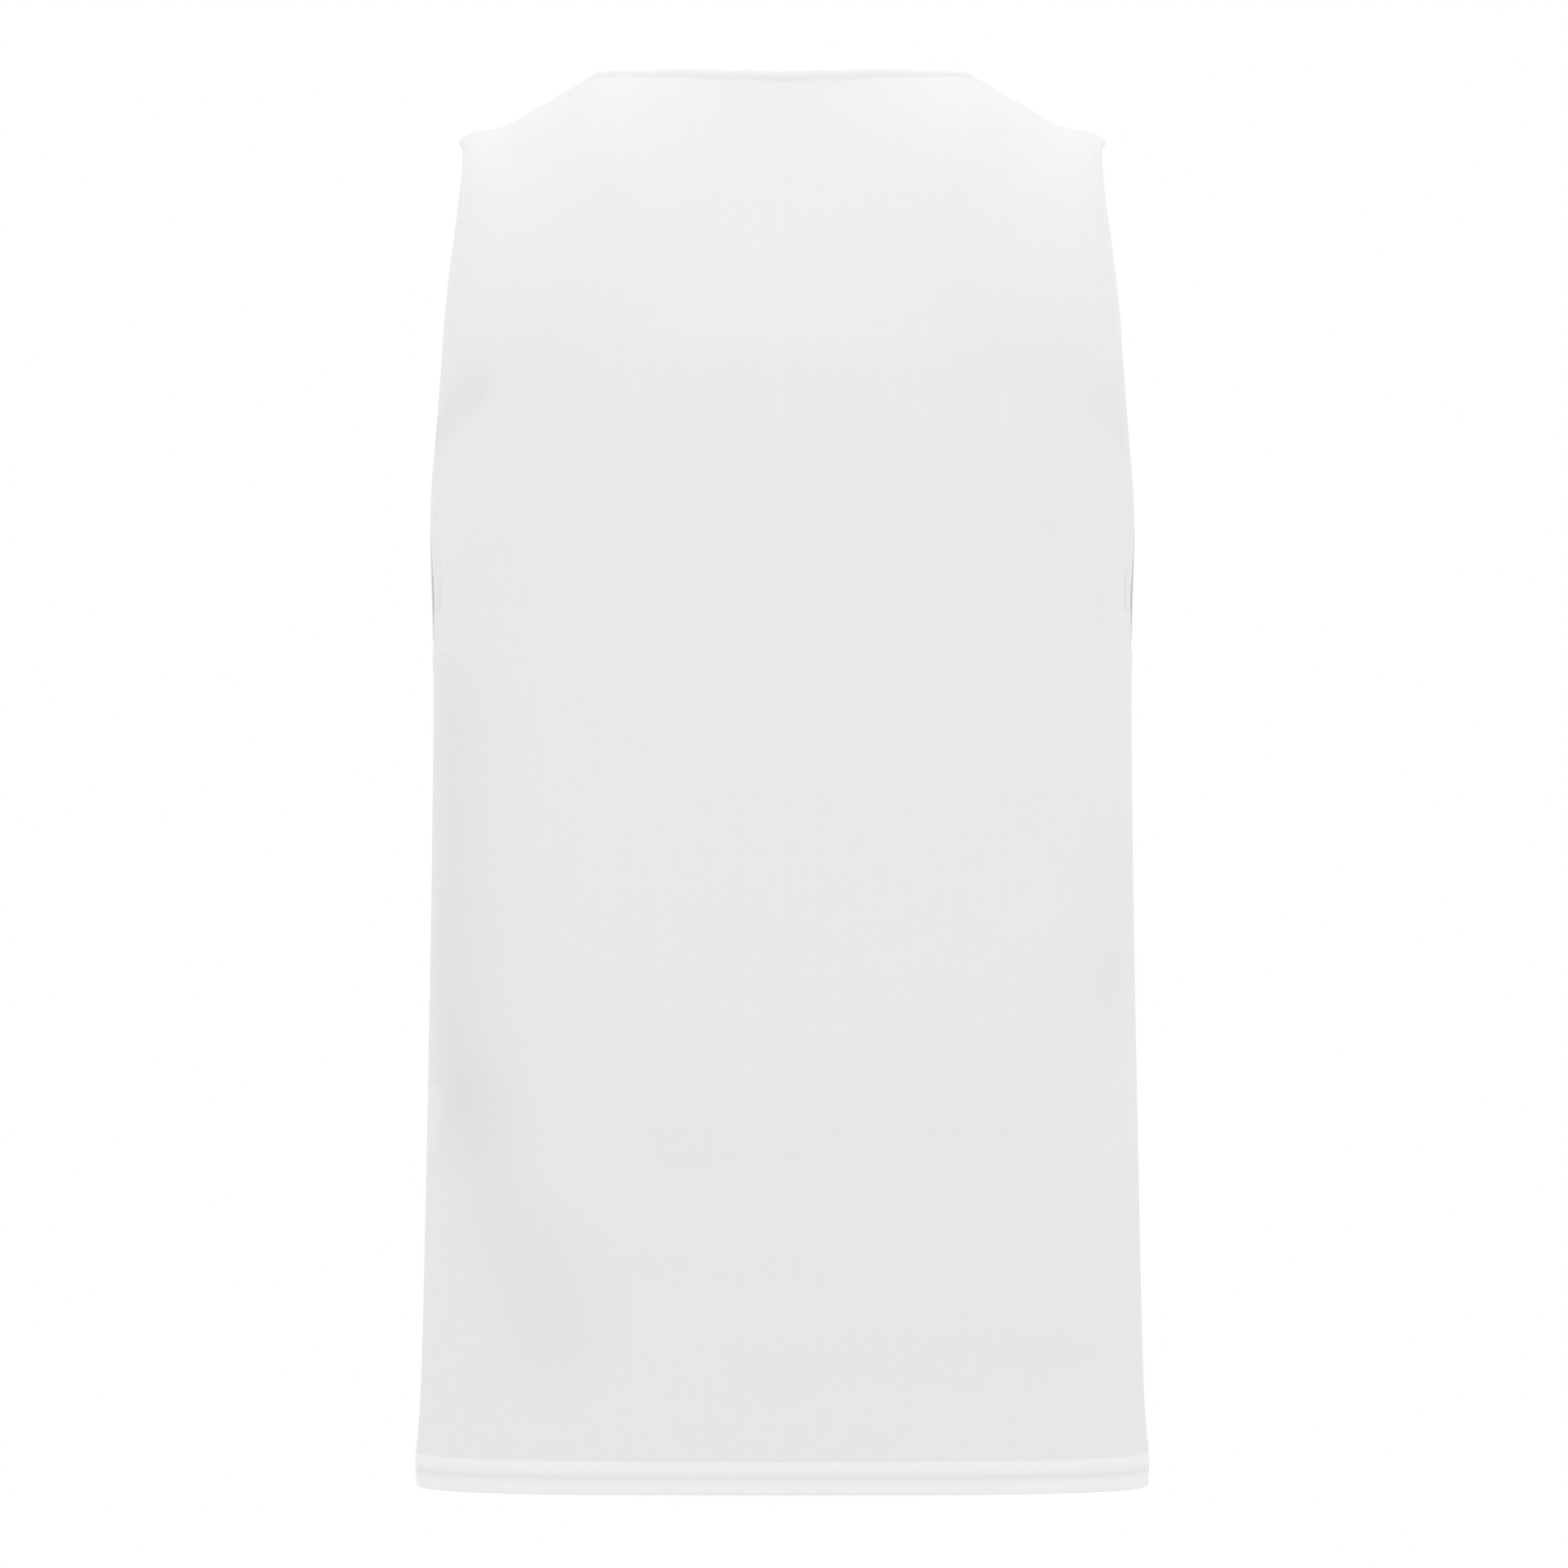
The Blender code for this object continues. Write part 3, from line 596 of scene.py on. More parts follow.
class Cloth(Panel):
    """One panel's outer face, with its folds, edges and seams."""

    def shift(self, across, height, place, stand):
        """How far the cloth's face is off the form, and its folds before they fade at edges, which
        set the painted shade.
        """
        length = self.row(min(height, YOKE)).length
        distance = across * length
        folds = sum(fold_depth(fold, distance, place.z) for fold in FOLDS[self.side])
        from_seam = min(length - abs(distance), (YOKE + 1 - height) * YOKE_CLIMB)
        fade = min(max(from_seam, 0.0) / FOLD_FADE, 1.0)
        return folds * fade * fade * (3 - 2 * fade) + stand, folds

    def seam_way(self, across, height):
        """The way out of the cloth on the shoulder seam, the same for both panels."""
        share = abs(across)
        seam = top_edge(self.side, share + NUDGE) - top_edge(self.side, share - NUDGE)
        back, front = read(LEANS[BACK], share), read(LEANS[FRONT], share)
        over = Vector((
            back.arrive_spread - front.arrive_spread, 2.0, back.arrive_rise - front.arrive_rise
        ))
        way = seam.cross(over).normalized()
        way = way if way.z > 0 else -way
        return Vector((math.copysign(way.x, across), way.y, way.z))

    def spread(self, share, level):
        """A column's share at a level: over the armhole only the outer columns draw in."""
        row = self.row(level)
        if level <= UNDERARM:
            return share
        rise = (level - UNDERARM) / (YOKE - UNDERARM)
        ease = rise * rise * (3 - 2 * rise)
        whole = self.row(UNDERARM).length * (1 - ease) + self.row(YOKE).length * ease
        return share * (whole + (row.length - whole) * share**DRAW_IN) / row.length

    def lift(self, across, height):
        """How far the hem has risen here, near the side seam."""
        if height >= HEM_LIFT_HEIGHT:
            return 0.0
        from_side = (1 - abs(across)) * self.row(height).length
        near = max(1 - from_side / HEM_LIFT_WIDTH, 0.0)
        return HEM_LIFT * near * near * (1 - height / HEM_LIFT_HEIGHT)

    def trim(self, place):
        """How much higher the cloth lies here than the form, near the neck."""
        across = abs(place.x)
        if self.side == FRONT:
            off = math.hypot(across - RIDGE_PLACE[0], place.y - RIDGE_PLACE[1]) / RIDGE_WIDTH
            set_in = min(max((place.y + SEAM_BACK) / SEAM_BACK, 0.0), 1.0)
            return -RIDGE_DROP * set_in * math.exp(-off * off / 2)
        if across > NECK_TRIM[-1].across:
            return 0.0
        set_in = min(max((place.z - NECK_TRIM_FROM) / NECK_TRIM_OVER, 0.0), 1.0)
        return read(NECK_TRIM, across).rise * set_in

    def face(self, across, height, stand):
        """A point that stands this far off the form, and the way out of the cloth there."""
        place, out = self.point(across, height), self.normal(across, height)
        point = place + out * self.shift(across, height, place, stand)[0]
        point.z += HEM_Z + self.lift(across, height)
        if height > YOKE:
            point.z += self.trim(place)
        return point, out


def grid_of(cloth):
    """For each row, up from the hem, its places: across, height, stand, thickness, turned, and the
    depth of painted needle-groove shade.
    """
    rows = []
    inner = [CORNER_SHARE * i / NECK_SPACES for i in range(NECK_SPACES)] + [CORNER_SHARE]
    first, last = STRAP_COLUMNS[0].share, STRAP_COLUMNS[-1].share
    strap = [first + (last - first) * i / STRAP_SPACES for i in range(STRAP_SPACES + 1)]
    shares = inner + strap
    seam = (SHOULDER_TIP - SHOULDER_NECK).length
    ends = [read(NECK_COLUMNS, share).end for share in inner[:-1]] + [1.0]
    ends += [read(STRAP_COLUMNS, share).end for share in strap]
    ends += [2 - step / seam for step in EDGE_STEPS]
    steps_in = [FAR] * len(shares) + list(EDGE_STEPS)

    body = []
    height = HEM_ROWS[-1] + BODY_STEP / 2
    while height < UNDERARM + UNDERARM_ROWS[0] - BODY_STEP / 3:
        body.append(height)
        height += BODY_STEP
    levels = [*HEM_ROWS, *body, *(UNDERARM + row for row in UNDERARM_ROWS)]
    levels += [UNDERARM + row for row in ARMHOLE_ROWS]
    for level in levels:
        places = [cloth.spread(share, level) for share in shares]
        places += [cloth.turned_from(level, step) for step in EDGE_STEPS]
        places[-1] = 1.0
        row = []
        for share, step in zip(places, steps_in):
            below = level < UNDERARM
            from_armhole = max(step, UNDERARM - level) if below else step
            from_side = (1 - share) * cloth.row(level).length if below else FAR
            stand, thick = cloth_here(level, FAR, from_armhole, from_side, FAR)
            if level < UNDERARM + FLATTENED:
                stand = PLAIN.stand + (stand - PLAIN.stand) * UNDERARM_FLAT
            turned = max(
                within(level, HEM_SOLID) * HEM_FILLED,
                within(from_armhole, ARMHOLE_SOLID) * ARMHOLE_FILLED,
            )
            row.append((share, level, stand, thick, turned, sunk(level, HEM_GROOVE_SHADE)))
        rows.append(row)

    columns = []
    for share, end, step in zip(places, ends, steps_in):
        top_share, top = cloth.end_place(end, TOP_STEPS[0])
        column = []
        for i in range(1, YOKE_SPACES + 1):
            t = i / YOKE_SPACES
            column.append((share + (top_share - share) * t, YOKE + top * t, FAR))
        for below in TOP_STEPS[1:]:
            at_share, at = cloth.end_place(end, below)
            column.append((at_share, YOKE + at, below))
        columns.append([(*place, end, step) for place in column])
    for level in range(len(columns[0])):
        row = []
        for column in columns:
            share, height, below, end, step = column[level]
            from_neck = below if end <= 1 else FAR
            from_shoulder = below if end > 1 else FAR
            stand, thick = cloth_here(FAR, from_neck, step, FAR, from_shoulder)
            from_corner = abs(end - 1) * (seam if end > 1 else NECK_RUN)
            if below < FAR and from_corner < CORNER_FLAT:
                flat = 1 - from_corner / CORNER_FLAT
                flat *= flat * (3 - 2 * flat)
                stand += (CORNER_STAND - stand) * flat
                thick += (CORNER_THICK - thick) * flat
            turned = max(
                within(from_neck, NECK_SOLID) * NECK_FILLED,
                within(step, ARMHOLE_SOLID) * ARMHOLE_FILLED,
            )
            row.append((share, height, stand, thick, turned, sunk(from_neck, NECK_GROOVE_SHADE)))
        rows.append(row)
    return [
        [(-across, *rest) for across, *rest in reversed(row[1:])] + row for row in rows
    ]


def within(distance, edge, blur=0.0005):
    """1 where the distance is inside an edge's width, fading to 0 past it."""
    return min(max((edge + blur - distance) / (2 * blur), 0.0), 1.0)


def sunk(distance, groove):
    """The depth of painted shade along a soft groove at a distance from the edge it follows, below
    0.
    """
    off = (distance - groove.middle) / groove.width
    return -groove.depth * max(1 - off * off, 0.0) ** 2


def collection_of():
    name = "basketball_jersey_looks"
    made = bpy.data.collections.get(name)
    if not made:
        made = bpy.data.collections.new(name)
        bpy.context.scene.collection.children.link(made)
    return made


def add_piece(name, bm, material, smooth=True):
    """The finished bmesh as an object, in the jersey's collection."""
    mesh = bpy.data.meshes.new(name)
    bm.to_mesh(mesh)
    bm.free()
    if smooth:
        mesh.shade_smooth()
    mesh.materials.append(material)
    obj = bpy.data.objects.new(name, mesh)
    collection_of().objects.link(obj)
    return obj


def lay_chart(bm, places):
    """Each vertex's place on the knit or the tape, as the mesh's own UV map."""
    layer = bm.loops.layers.uv.new("cloth")
    for face in bm.faces:
        for loop in face.loops:
            loop[layer].uv = places[loop.vert.index]


def add_wall(obj, thickness, offset):
    wall = obj.modifiers.new("thickness", "SOLIDIFY")
    wall.thickness, wall.offset = thickness, offset
    return wall


Wale = namedtuple("Wale", "across round even")
WALE_SPREAD = 1.2  # how much closer the wales may stand, seen from behind, over the straps
WALE_BLEND = 0.35  # share of the way up the yoke over which they even out


def knit_chart(cloth, table, bases):
    """Where each of the grid's places lies on the knit: across its wales, and up along them."""
    yoke = cloth.row(YOKE)
    wales = [Wale(0.0, 0.0, 0.0)]
    for turn, length in zip(yoke.turns[1:], yoke.lengths[1:]):
        x, last = yoke.at_turn(turn).x, wales[-1]
        step = min(length - last.round, WALE_SPREAD * (x - last.across))
        wales.append(Wale(x, length, last.even + step))
    chart = {}
    for (row, column), base in sorted(bases.items()):
        across, height = table[row][column][:2]
        if height <= YOKE:
            chart[row, column] = across * cloth.row(height).length, height
            continue
        wale = read(wales, min(abs(base.x), wales[-1].across))
        blend = min((height - YOKE) / WALE_BLEND, 1.0)
        round_here = wale.round + (wale.even - wale.round) * blend * blend * (3 - 2 * blend)
        below = bases[row - 1, column]
        up = chart[row - 1, column][1] + math.hypot(base.y - below.y, base.z - below.z)
        chart[row, column] = math.copysign(round_here, base.x), up
    return chart


ON_SEAM = 0.999  # how far up the yoke counts as on the shoulder seam


def build_cloth(side, name, material):
    """One panel of cloth: a grid on the form, its outer face out, its thickness inwards."""
    cloth = Cloth(side)
    table = grid_of(cloth)
    rows, columns = len(table), len(table[0])
    bm = bmesh.new()
    bmesh.ops.create_grid(bm, x_segments=columns - 1, y_segments=rows - 1, size=1.0)
    cells, spots, bases = [], [], {}
    for vert in bm.verts:
        column = round((vert.co.x + 1) / 2 * (columns - 1))
        row = round((vert.co.y + 1) / 2 * (rows - 1))
        cells.append(table[row][column])
        vert.co = cloth.point(*table[row][column][:2])
        spots.append((row, column))
        bases[row, column] = vert.co.copy()
    chart = knit_chart(cloth, table, bases)
    if side == FRONT:
        bmesh.ops.reverse_faces(bm, faces=bm.faces)
    bm.normal_update()
    ways = [
        cloth.seam_way(*cell[:2]) if cell[1] > YOKE + ON_SEAM else vert.normal.copy()
        for vert, cell in zip(bm.verts, cells)
    ]
    # Painted shade: each vertex's fold trough depth plus needle-groove depth, which darkens the
    # cloth's colour.
    painted_shades = []
    for vert, (across, height, stand, _, _, groove) in zip(bm.verts, cells):
        base = vert.co.copy()
        shift, folds = cloth.shift(across, height, base, stand)
        painted_shades.append(min(folds, 0.0) + groove)
        vert.co = base + ways[vert.index] * shift
        if height > YOKE:
            vert.co.z += cloth.trim(base)
        vert.co.z += HEM_Z + cloth.lift(across, height)
    lay_chart(bm, [chart[spot] for spot in spots])
    obj = add_piece(name, bm, material)
    for attribute, values in (("turned", [cell[4] for cell in cells]), ("painted_shade_depth", painted_shades)):
        obj.data.attributes.new(attribute, "FLOAT", "POINT").data.foreach_set("value", values)
    thickest = max(cell[3] for cell in cells)
    group = obj.vertex_groups.new(name="thickness")
    for index, cell in enumerate(cells):
        group.add([index], cell[3] / thickest, "REPLACE")
    add_wall(obj, thickest, -1.0).vertex_group = group.name
    return obj, cloth


# ---- Stitches ----
def walk(points, spacing):
    """Places at even spacing along a line of (point, out) pairs, with the way along."""
    places, left = [], spacing / 2
    for (a, out_a), (b, out_b) in zip(points, points[1:]):
        length = (b - a).length
        while left <= length and length > 0:
            t = left / length
            places.append((a.lerp(b, t), (b - a) / length, out_a.lerp(out_b, t).normalized()))
            left += spacing
        left -= length
    return places


def build_stitches(name, lines, sizes, material):
    """Short thread stitches, end to end with a small gap, sunk a little in the cloth."""
    bm = bmesh.new()
    half = (sizes.stitch_length / 2, sizes.thread / 2, sizes.thread / 2, 1)
    shape = Matrix.Diagonal(half) @ Matrix.Rotation(math.pi / 2, 4, "Y")
    bmesh.ops.create_uvsphere(bm, u_segments=6, v_segments=5, radius=1.0, matrix=shape)
    stitch = bpy.data.meshes.new("stitch")
    bm.to_mesh(stitch)
    bm.clear()
    for line in lines:
        for point, along, out in walk(line, sizes.stitch_length + sizes.stitch_gap):
            side = along.cross(out).normalized()
            turn = Matrix((along, side, along.cross(side))).transposed().to_4x4()
            copy = stitch.copy()
            copy.transform(Matrix.Translation(point) @ turn)
            bm.from_mesh(copy)
            bpy.data.meshes.remove(copy)
    bpy.data.meshes.remove(stitch)
    return add_piece(name, bm, material)


THREAD_SUNK = 0.2  # how far the stitches sink in, as a share of their thickness
# How many points a half line has, and where the neck's stops short of the shoulder seam.
HEM_POINTS, NECK_POINTS, NECK_LAST, ARMHOLE_POINTS, STRAP_POINTS = 60, 60, 54, 80, 40


def stitch_stand(table, needle, sizes):
    """How far a line's stitches stand off the form."""
    return read(table, needle).stand - sizes.thread * THREAD_SUNK


def hem_lines(cloths, sizes):
    stand = stitch_stand(HEM, HEM_NEEDLE, sizes)
    shares = [-1 + i / HEM_POINTS for i in range(2 * HEM_POINTS + 1)]
    return [[cloth.face(share, HEM_NEEDLE, stand) for share in shares] for cloth in cloths]


def neck_lines(cloths, sizes):
    lines = []
    stand = stitch_stand(NECK_EDGE, NECK_NEEDLE, sizes)
    for cloth in cloths:
        half = [up(*cloth.end_place(i / NECK_POINTS, NECK_NEEDLE)) for i in range(NECK_LAST)]
        across = [(-share, height) for share, height in reversed(half[1:])] + half
        lines.append([cloth.face(share, height, stand) for share, height in across])
    return lines


def armhole_lines(cloths, sizes):
    lines = []
    stand = stitch_stand(ARMHOLE_EDGE, ARMHOLE_NEEDLE, sizes)
    flat = PLAIN.stand + (stand - PLAIN.stand) * UNDERARM_FLAT
    seam = (SHOULDER_TIP - SHOULDER_NECK).length
    rise = YOKE - UNDERARM + ARMHOLE_NEEDLE
    for cloth in cloths:
        half = []
        for i in range(ARMHOLE_POINTS + 1):
            level = UNDERARM - ARMHOLE_NEEDLE + rise * (i / ARMHOLE_POINTS) ** 2
            half.append((cloth.turned_from(level, ARMHOLE_NEEDLE), level))
        half[0] = (1.0, half[0][1])
        share = half[-1][0]
        top_share, top = cloth.end_place(2 - ARMHOLE_NEEDLE / seam, 0.0)
        half += [
            up(share + (top_share - share) * i / STRAP_POINTS, top * i / STRAP_POINTS)
            for i in range(1, STRAP_POINTS + 1)
        ]
        for sign in (-1, 1):
            lines.append([
                cloth.face(sign * across, height, flat if height < UNDERARM + FLATTENED else stand)
                for across, height in half
            ])
    return lines


# ---- Materials ----
class Wire:
    """A socket's value in a shader: arithmetic on it adds the Math nodes."""

    def __init__(self, shader, socket):
        self.shader, self.socket = shader, socket

    def maths(self, operation, *values):
        sockets = dict(enumerate(values))
        return self.shader.node("ShaderNodeMath", {"operation": operation}, sockets)

    def __add__(self, other):
        return self.maths("ADD", self, other)

    def __radd__(self, other):
        return self.maths("ADD", other, self)

    def __sub__(self, other):
        return self.maths("SUBTRACT", self, other)

    def __rsub__(self, other):
        return self.maths("SUBTRACT", other, self)

    def __mul__(self, other):
        return self.maths("MULTIPLY", self, other)

    def __rmul__(self, other):
        return self.maths("MULTIPLY", other, self)

    def __truediv__(self, other):
        return self.maths("DIVIDE", self, other)

    def __pow__(self, other):
        return self.maths("POWER", self, other)

    def __abs__(self):
        return self.maths("ABSOLUTE", self)

    def fraction(self):
        return self.maths("FRACT", self)

    def least(self, other):
        return self.maths("MINIMUM", self, other)

    def fade(self, start, end):
        """0 before start, 1 past end, and smooth between them."""
        settings = {"interpolation_type": "SMOOTHSTEP"}
        return self.shader.node("ShaderNodeMapRange", settings, {"Value": self, 1: start, 2: end})

    def between(self, low, high, blur):
        return self.fade(low - blur, low + blur) * (1 - self.fade(high - blur, high + blur))


class Shader:
    """The node tree of a material or of the world, with one way to add any node."""

    def __init__(self, owner, surface="Principled BSDF"):
        self.owner = owner
        self.owner.use_nodes = True
        self.tree = self.owner.node_tree
        self.surface = self.tree.nodes[surface]

    def node(self, kind, settings=None, sockets=None, output=0):
        made = self.tree.nodes.new(kind)
        for name, value in (settings or {}).items():
            setattr(made, name, value)
        self.join(made, sockets or {})
        return Wire(self, made.outputs[output])

    def join(self, node, sockets):
        for key, value in sockets.items():
            if isinstance(value, Wire):
                self.tree.links.new(value.socket, node.inputs[key])
            else:
                node.inputs[key].default_value = value

    def finish(self, **sockets):
        self.join(self.surface, {name.replace("_", " "): value for name, value in sockets.items()})
        return self.owner

    def place(self):
        """Where a point is on the object."""
        return self.node("ShaderNodeTexCoord", output=3)

    def split(self, vector):
        parts = self.node("ShaderNodeSeparateXYZ", sockets={0: vector})
        return [Wire(self, output) for output in parts.socket.node.outputs]

    def chart(self):
        """Where a point is on the piece's own UV map."""
        return self.split(self.node("ShaderNodeUVMap", {"uv_map": "cloth"}))[:2]

    def attribute(self, name):
        return self.node("ShaderNodeAttribute", {"attribute_name": name}, output=2)

    def noise(self, scale):
        sockets = {"Vector": self.place(), "Scale": scale, "Detail": 2.0}
        return self.node("ShaderNodeTexNoise", {"noise_dimensions": "3D"}, sockets)

    def relief(self, strength, distance, height):
        sockets = {"Strength": strength, "Distance": distance, "Height": height}
        return self.node("ShaderNodeBump", sockets=sockets)

    def shade(self, colour, factor):
        """A colour darkened or lightened by a value."""
        grey = self.node("ShaderNodeCombineColor", sockets={0: factor, 1: factor, 2: factor})
        settings = {"data_type": "RGBA", "blend_type": "MULTIPLY"}
        return self.node("ShaderNodeMix", settings, {0: 1.0, 6: colour, 7: grey}, output=2)


def thread_ridges(run, pitch):
    """1 on each thread and 0 midway between two."""
    return abs((run / pitch).fraction() - 0.5) * 2


# How much lighter or darker the parts of the mesh are than plain cloth, over what distance
# their borders are blurred, and how wide the label's folded rim is.
WALE_DARK, FINE_UNEVEN, BROAD_UNEVEN = 0.024, 0.012, 0.010
HEM_LIGHT, HEM_BLUR = 0.066, 0.0006
LABEL_LIGHT, LABEL_HOLES, RIM_LIGHT = 0.022, 0.6, 0.014
LABEL_BLUR, LABEL_RIM, IN_THE_SEAM = 0.0004, 0.0016, -0.01
HOLE_EDGE = (0.1, 1.7)  # where a hole's dark begins and ends to fade, from its middle out
FINE_SCALE, BROAD_SCALE = 55.0, 9.0
MESH_RELIEF = 0.00035


def mesh_cloth(name, look, with_label):
    """White knitted mesh: rows of small holes, each set between two of the row below, with painted
    shade in its folds and needle grooves.
    """
    shader = Shader(bpy.data.materials.new(name))
    u, v = shader.chart()
    open_cloth = 1 - shader.attribute("turned")

    across, up = u / look.hole_pitch, v / (2 * look.hole_row)
    wobble, broad = shader.noise(FINE_SCALE), shader.noise(BROAD_SCALE)
    nearest = None
    for shift in (0.0, 0.5):
        right = ((across + shift).fraction() - 0.5) * (look.hole_pitch / look.hole_width * 2)
        above = ((up + shift).fraction() - 0.5) * (4 * look.hole_row / look.hole_height)
        here = right * right + above * above
        nearest = here if nearest is None else nearest.least(here)
    hole = (1 - nearest.fade(*HOLE_EDGE)) * open_cloth
    wale = thread_ridges(u, look.hole_pitch / 2)
    course = thread_ridges(v, look.hole_row / 2)

    tone = 1 - hole * look.hole_dark - wale * WALE_DARK
    tone += (wobble - 0.5) * FINE_UNEVEN + (broad - 0.5) * BROAD_UNEVEN
    hem = 1 - v.fade(HEM_SOLID - HEM_BLUR, HEM_SOLID + HEM_BLUR)
    # Painted shade: the cloth is darker in fold troughs and needle grooves, by the depth each
    # vertex carries.
    tone += hem * HEM_LIGHT + shader.attribute("painted_shade_depth") * look.painted_shade_strength
    if with_label:
        seam = u + look.half_girth
        level = v + (1 - seam / LABEL_REACH) ** 2 * LABEL_DROOP

        def patch(rim):
            along = seam.between(IN_THE_SEAM, LABEL_REACH - rim, LABEL_BLUR)
            return along * level.between(LABEL_LOW + rim, LABEL_HIGH - rim, LABEL_BLUR)

        label = patch(0.0)
        tone += label * (LABEL_LIGHT + hole * look.hole_dark * LABEL_HOLES)
        tone += (label - patch(LABEL_RIM)) * RIM_LIGHT
    height = wale * 0.12 + course * 0.10 + wobble * 0.2 - hole * 0.4
    return shader.finish(
        Base_Color=shader.shade((*look.cloth_colour, 1.0), tone),
        Roughness=0.72 + hole * 0.12,
        Normal=shader.relief(look.bump, MESH_RELIEF, height),
        Sheen_Weight=0.04,
        Sheen_Roughness=0.5,
        Specular_IOR_Level=0.25,
    )


def thread_cloth(name, look):
    """Twisted polyester thread."""
    shader = Shader(bpy.data.materials.new(name))
    twist = shader.node(
        "ShaderNodeTexWave",
        {"wave_type": "BANDS", "bands_direction": "DIAGONAL"},
        {"Vector": shader.place(), "Scale": 900.0, "Distortion": 1.0},
        output=1,
    )
    return shader.finish(
        Base_Color=shader.shade((*look.thread_colour, 1.0), 0.97 + twist * 0.03),
        Roughness=0.5 + twist * 0.1,
        Normal=shader.relief(0.4, 0.0001, twist),
        Specular_IOR_Level=0.35,
    )


TAPE_WEFT, TAPE_WARP, TAPE_FOLD, FOLD_BLUR = 0.0004, 0.0003, 0.0015, 0.0002


def label_cloth(name, look):
    """Smooth woven tape with a folded, stitched border, and nothing on it."""
    shader = Shader(bpy.data.materials.new(name))
    u, v = shader.chart()
    weft, warp = thread_ridges(v, TAPE_WEFT), thread_ridges(u, TAPE_WARP)
    border = 1 - u.between(TAPE_FOLD, LABEL_REACH - TAPE_FOLD, FOLD_BLUR) * v.between(
        TAPE_FOLD, LABEL_HIGH - LABEL_LOW - TAPE_FOLD, FOLD_BLUR
    )
    return shader.finish(
        Base_Color=shader.shade((*look.label_colour, 1.0), 1 - weft * 0.02 - border * 0.03),
        Roughness=0.42 + weft * 0.1,
        Normal=shader.relief(0.35, 0.0001, weft * 0.6 + warp * 0.4 + border),
        Specular_IOR_Level=0.4,
    )


LABEL_COLUMNS, LABEL_ROWS = 24, 18
LABEL_CURL = 0.0012  # how far its free end stands off the back


def build_label(cloth, material, sizes):
    """The label, sewn in the side seam and lying against the inside of the back."""
    half_row = cloth.row(LABEL_LOW).length
    tall = LABEL_HIGH - LABEL_LOW
    bm = bmesh.new()
    bmesh.ops.create_grid(bm, x_segments=LABEL_COLUMNS, y_segments=LABEL_ROWS, size=1.0)
    places = []
    for vert in bm.verts:
        reach, rise = (vert.co.x + 1) / 2, (vert.co.y + 1) / 2
        height = LABEL_LOW + tall * rise - LABEL_DROOP * reach**2
        inside = -LABEL_CLEAR - sizes.label_thickness - LABEL_CURL * reach**3
        vert.co, _ = cloth.face(reach * LABEL_REACH / half_row - 1, height, inside)
        places.append((reach * LABEL_REACH, rise * tall))
    lay_chart(bm, places)
    obj = add_piece("label", bm, material)
    add_wall(obj, sizes.label_thickness, 0.0)
    return obj


# ---- The stage ----
FLOOR_Z, FLOOR_RADIUS = -0.95, 2.2
RIM_FROM, RIM_TO = 0.35, 0.97  # shares of the floor's radius over which it fades into the white
CEILING_FROM, CEILING_TO = 0.42, 0.60  # sine of the elevation where the white gives way
CAMERA_PLACE = (0.00087, -5.55, -0.3422)
FRAME_WIDTH = 0.8371  # what the photo's frame covers at the centre plane
SENSOR = 36.0
LIGHT_PLACE, LIGHT_AIM, LIGHT_SIZE = Vector((0.1, 0.0, 2.7)), Vector((0.1, 0.0, 0.0)), 5.0
WHITE = (1.0, 1.0, 1.0, 1.0)


def build_camera():
    camera = bpy.data.cameras.new("camera")
    camera.sensor_fit = "HORIZONTAL"
    camera.sensor_width = SENSOR
    camera.lens = SENSOR * -CAMERA_PLACE[1] / FRAME_WIDTH
    obj = bpy.data.objects.new("camera", camera)
    obj.location = CAMERA_PLACE
    obj.rotation_euler = (math.pi / 2, 0, 0)
    bpy.context.scene.collection.objects.link(obj)
    bpy.context.scene.camera = obj


def build_floor(look):
    """A pale round floor under the jersey, fading into the white all round at its rim."""
    bm = bmesh.new()
    bmesh.ops.create_circle(bm, cap_ends=True, segments=128, radius=FLOOR_RADIUS)
    bmesh.ops.translate(bm, vec=(0, 0, FLOOR_Z), verts=bm.verts)
    shader = Shader(bpy.data.materials.new("floor"))
    x, y, _ = shader.split(shader.place())
    far = ((x * x + y * y) ** 0.5).fade(FLOOR_RADIUS * RIM_FROM, FLOOR_RADIUS * RIM_TO)
    grain = shader.noise(40.0)
    material = shader.finish(
        Base_Color=shader.shade((*look.floor_colour, 1.0), (0.99 + grain * 0.02) * (1 - far)),
        Roughness=0.85 + grain * 0.05,
        Emission_Color=shader.shade(WHITE, far),
        Emission_Strength=1.0,
        Specular_IOR_Level=0.0,
    )
    add_piece("floor", bm, material, smooth=False)


def build_light(power):
    """A wide soft light overhead."""
    light = bpy.data.lights.new("overhead_light", "AREA")
    light.shape = "SQUARE"
    light.size = LIGHT_SIZE
    light.energy = power
    obj = bpy.data.objects.new("overhead_light", light)
    obj.location = LIGHT_PLACE
    obj.rotation_euler = (LIGHT_AIM - LIGHT_PLACE).to_track_quat("-Z", "Y").to_euler()
    bpy.context.scene.collection.objects.link(obj)


def build_surroundings(look):
    """A white studio: white all round, and a darker ceiling."""
    world = bpy.data.worlds.new("studio")
    shader = Shader(world, "Background")
    way = shader.node("ShaderNodeTexCoord", output=0)
    rise = shader.split(way)[2].fade(CEILING_FROM, CEILING_TO)
    shader.finish(Color=shader.shade(WHITE, 1 - rise * (1 - look.ceiling)), Strength=1.0)
    bpy.context.scene.world = world
    bpy.context.scene.view_settings.view_transform = "Standard"


# ---- The add-on ----
def length(name, description, default):
    return bpy.props.FloatProperty(
        name=name, description=description, default=default, unit="LENGTH"
    )


def factor(name, description, default):
    return bpy.props.FloatProperty(
        name=name, description=description, default=default, subtype="FACTOR"
    )


def colour(name, description, default):
    return bpy.props.FloatVectorProperty(
        name=name, description=description, default=default, subtype="COLOR", min=0, max=1
    )


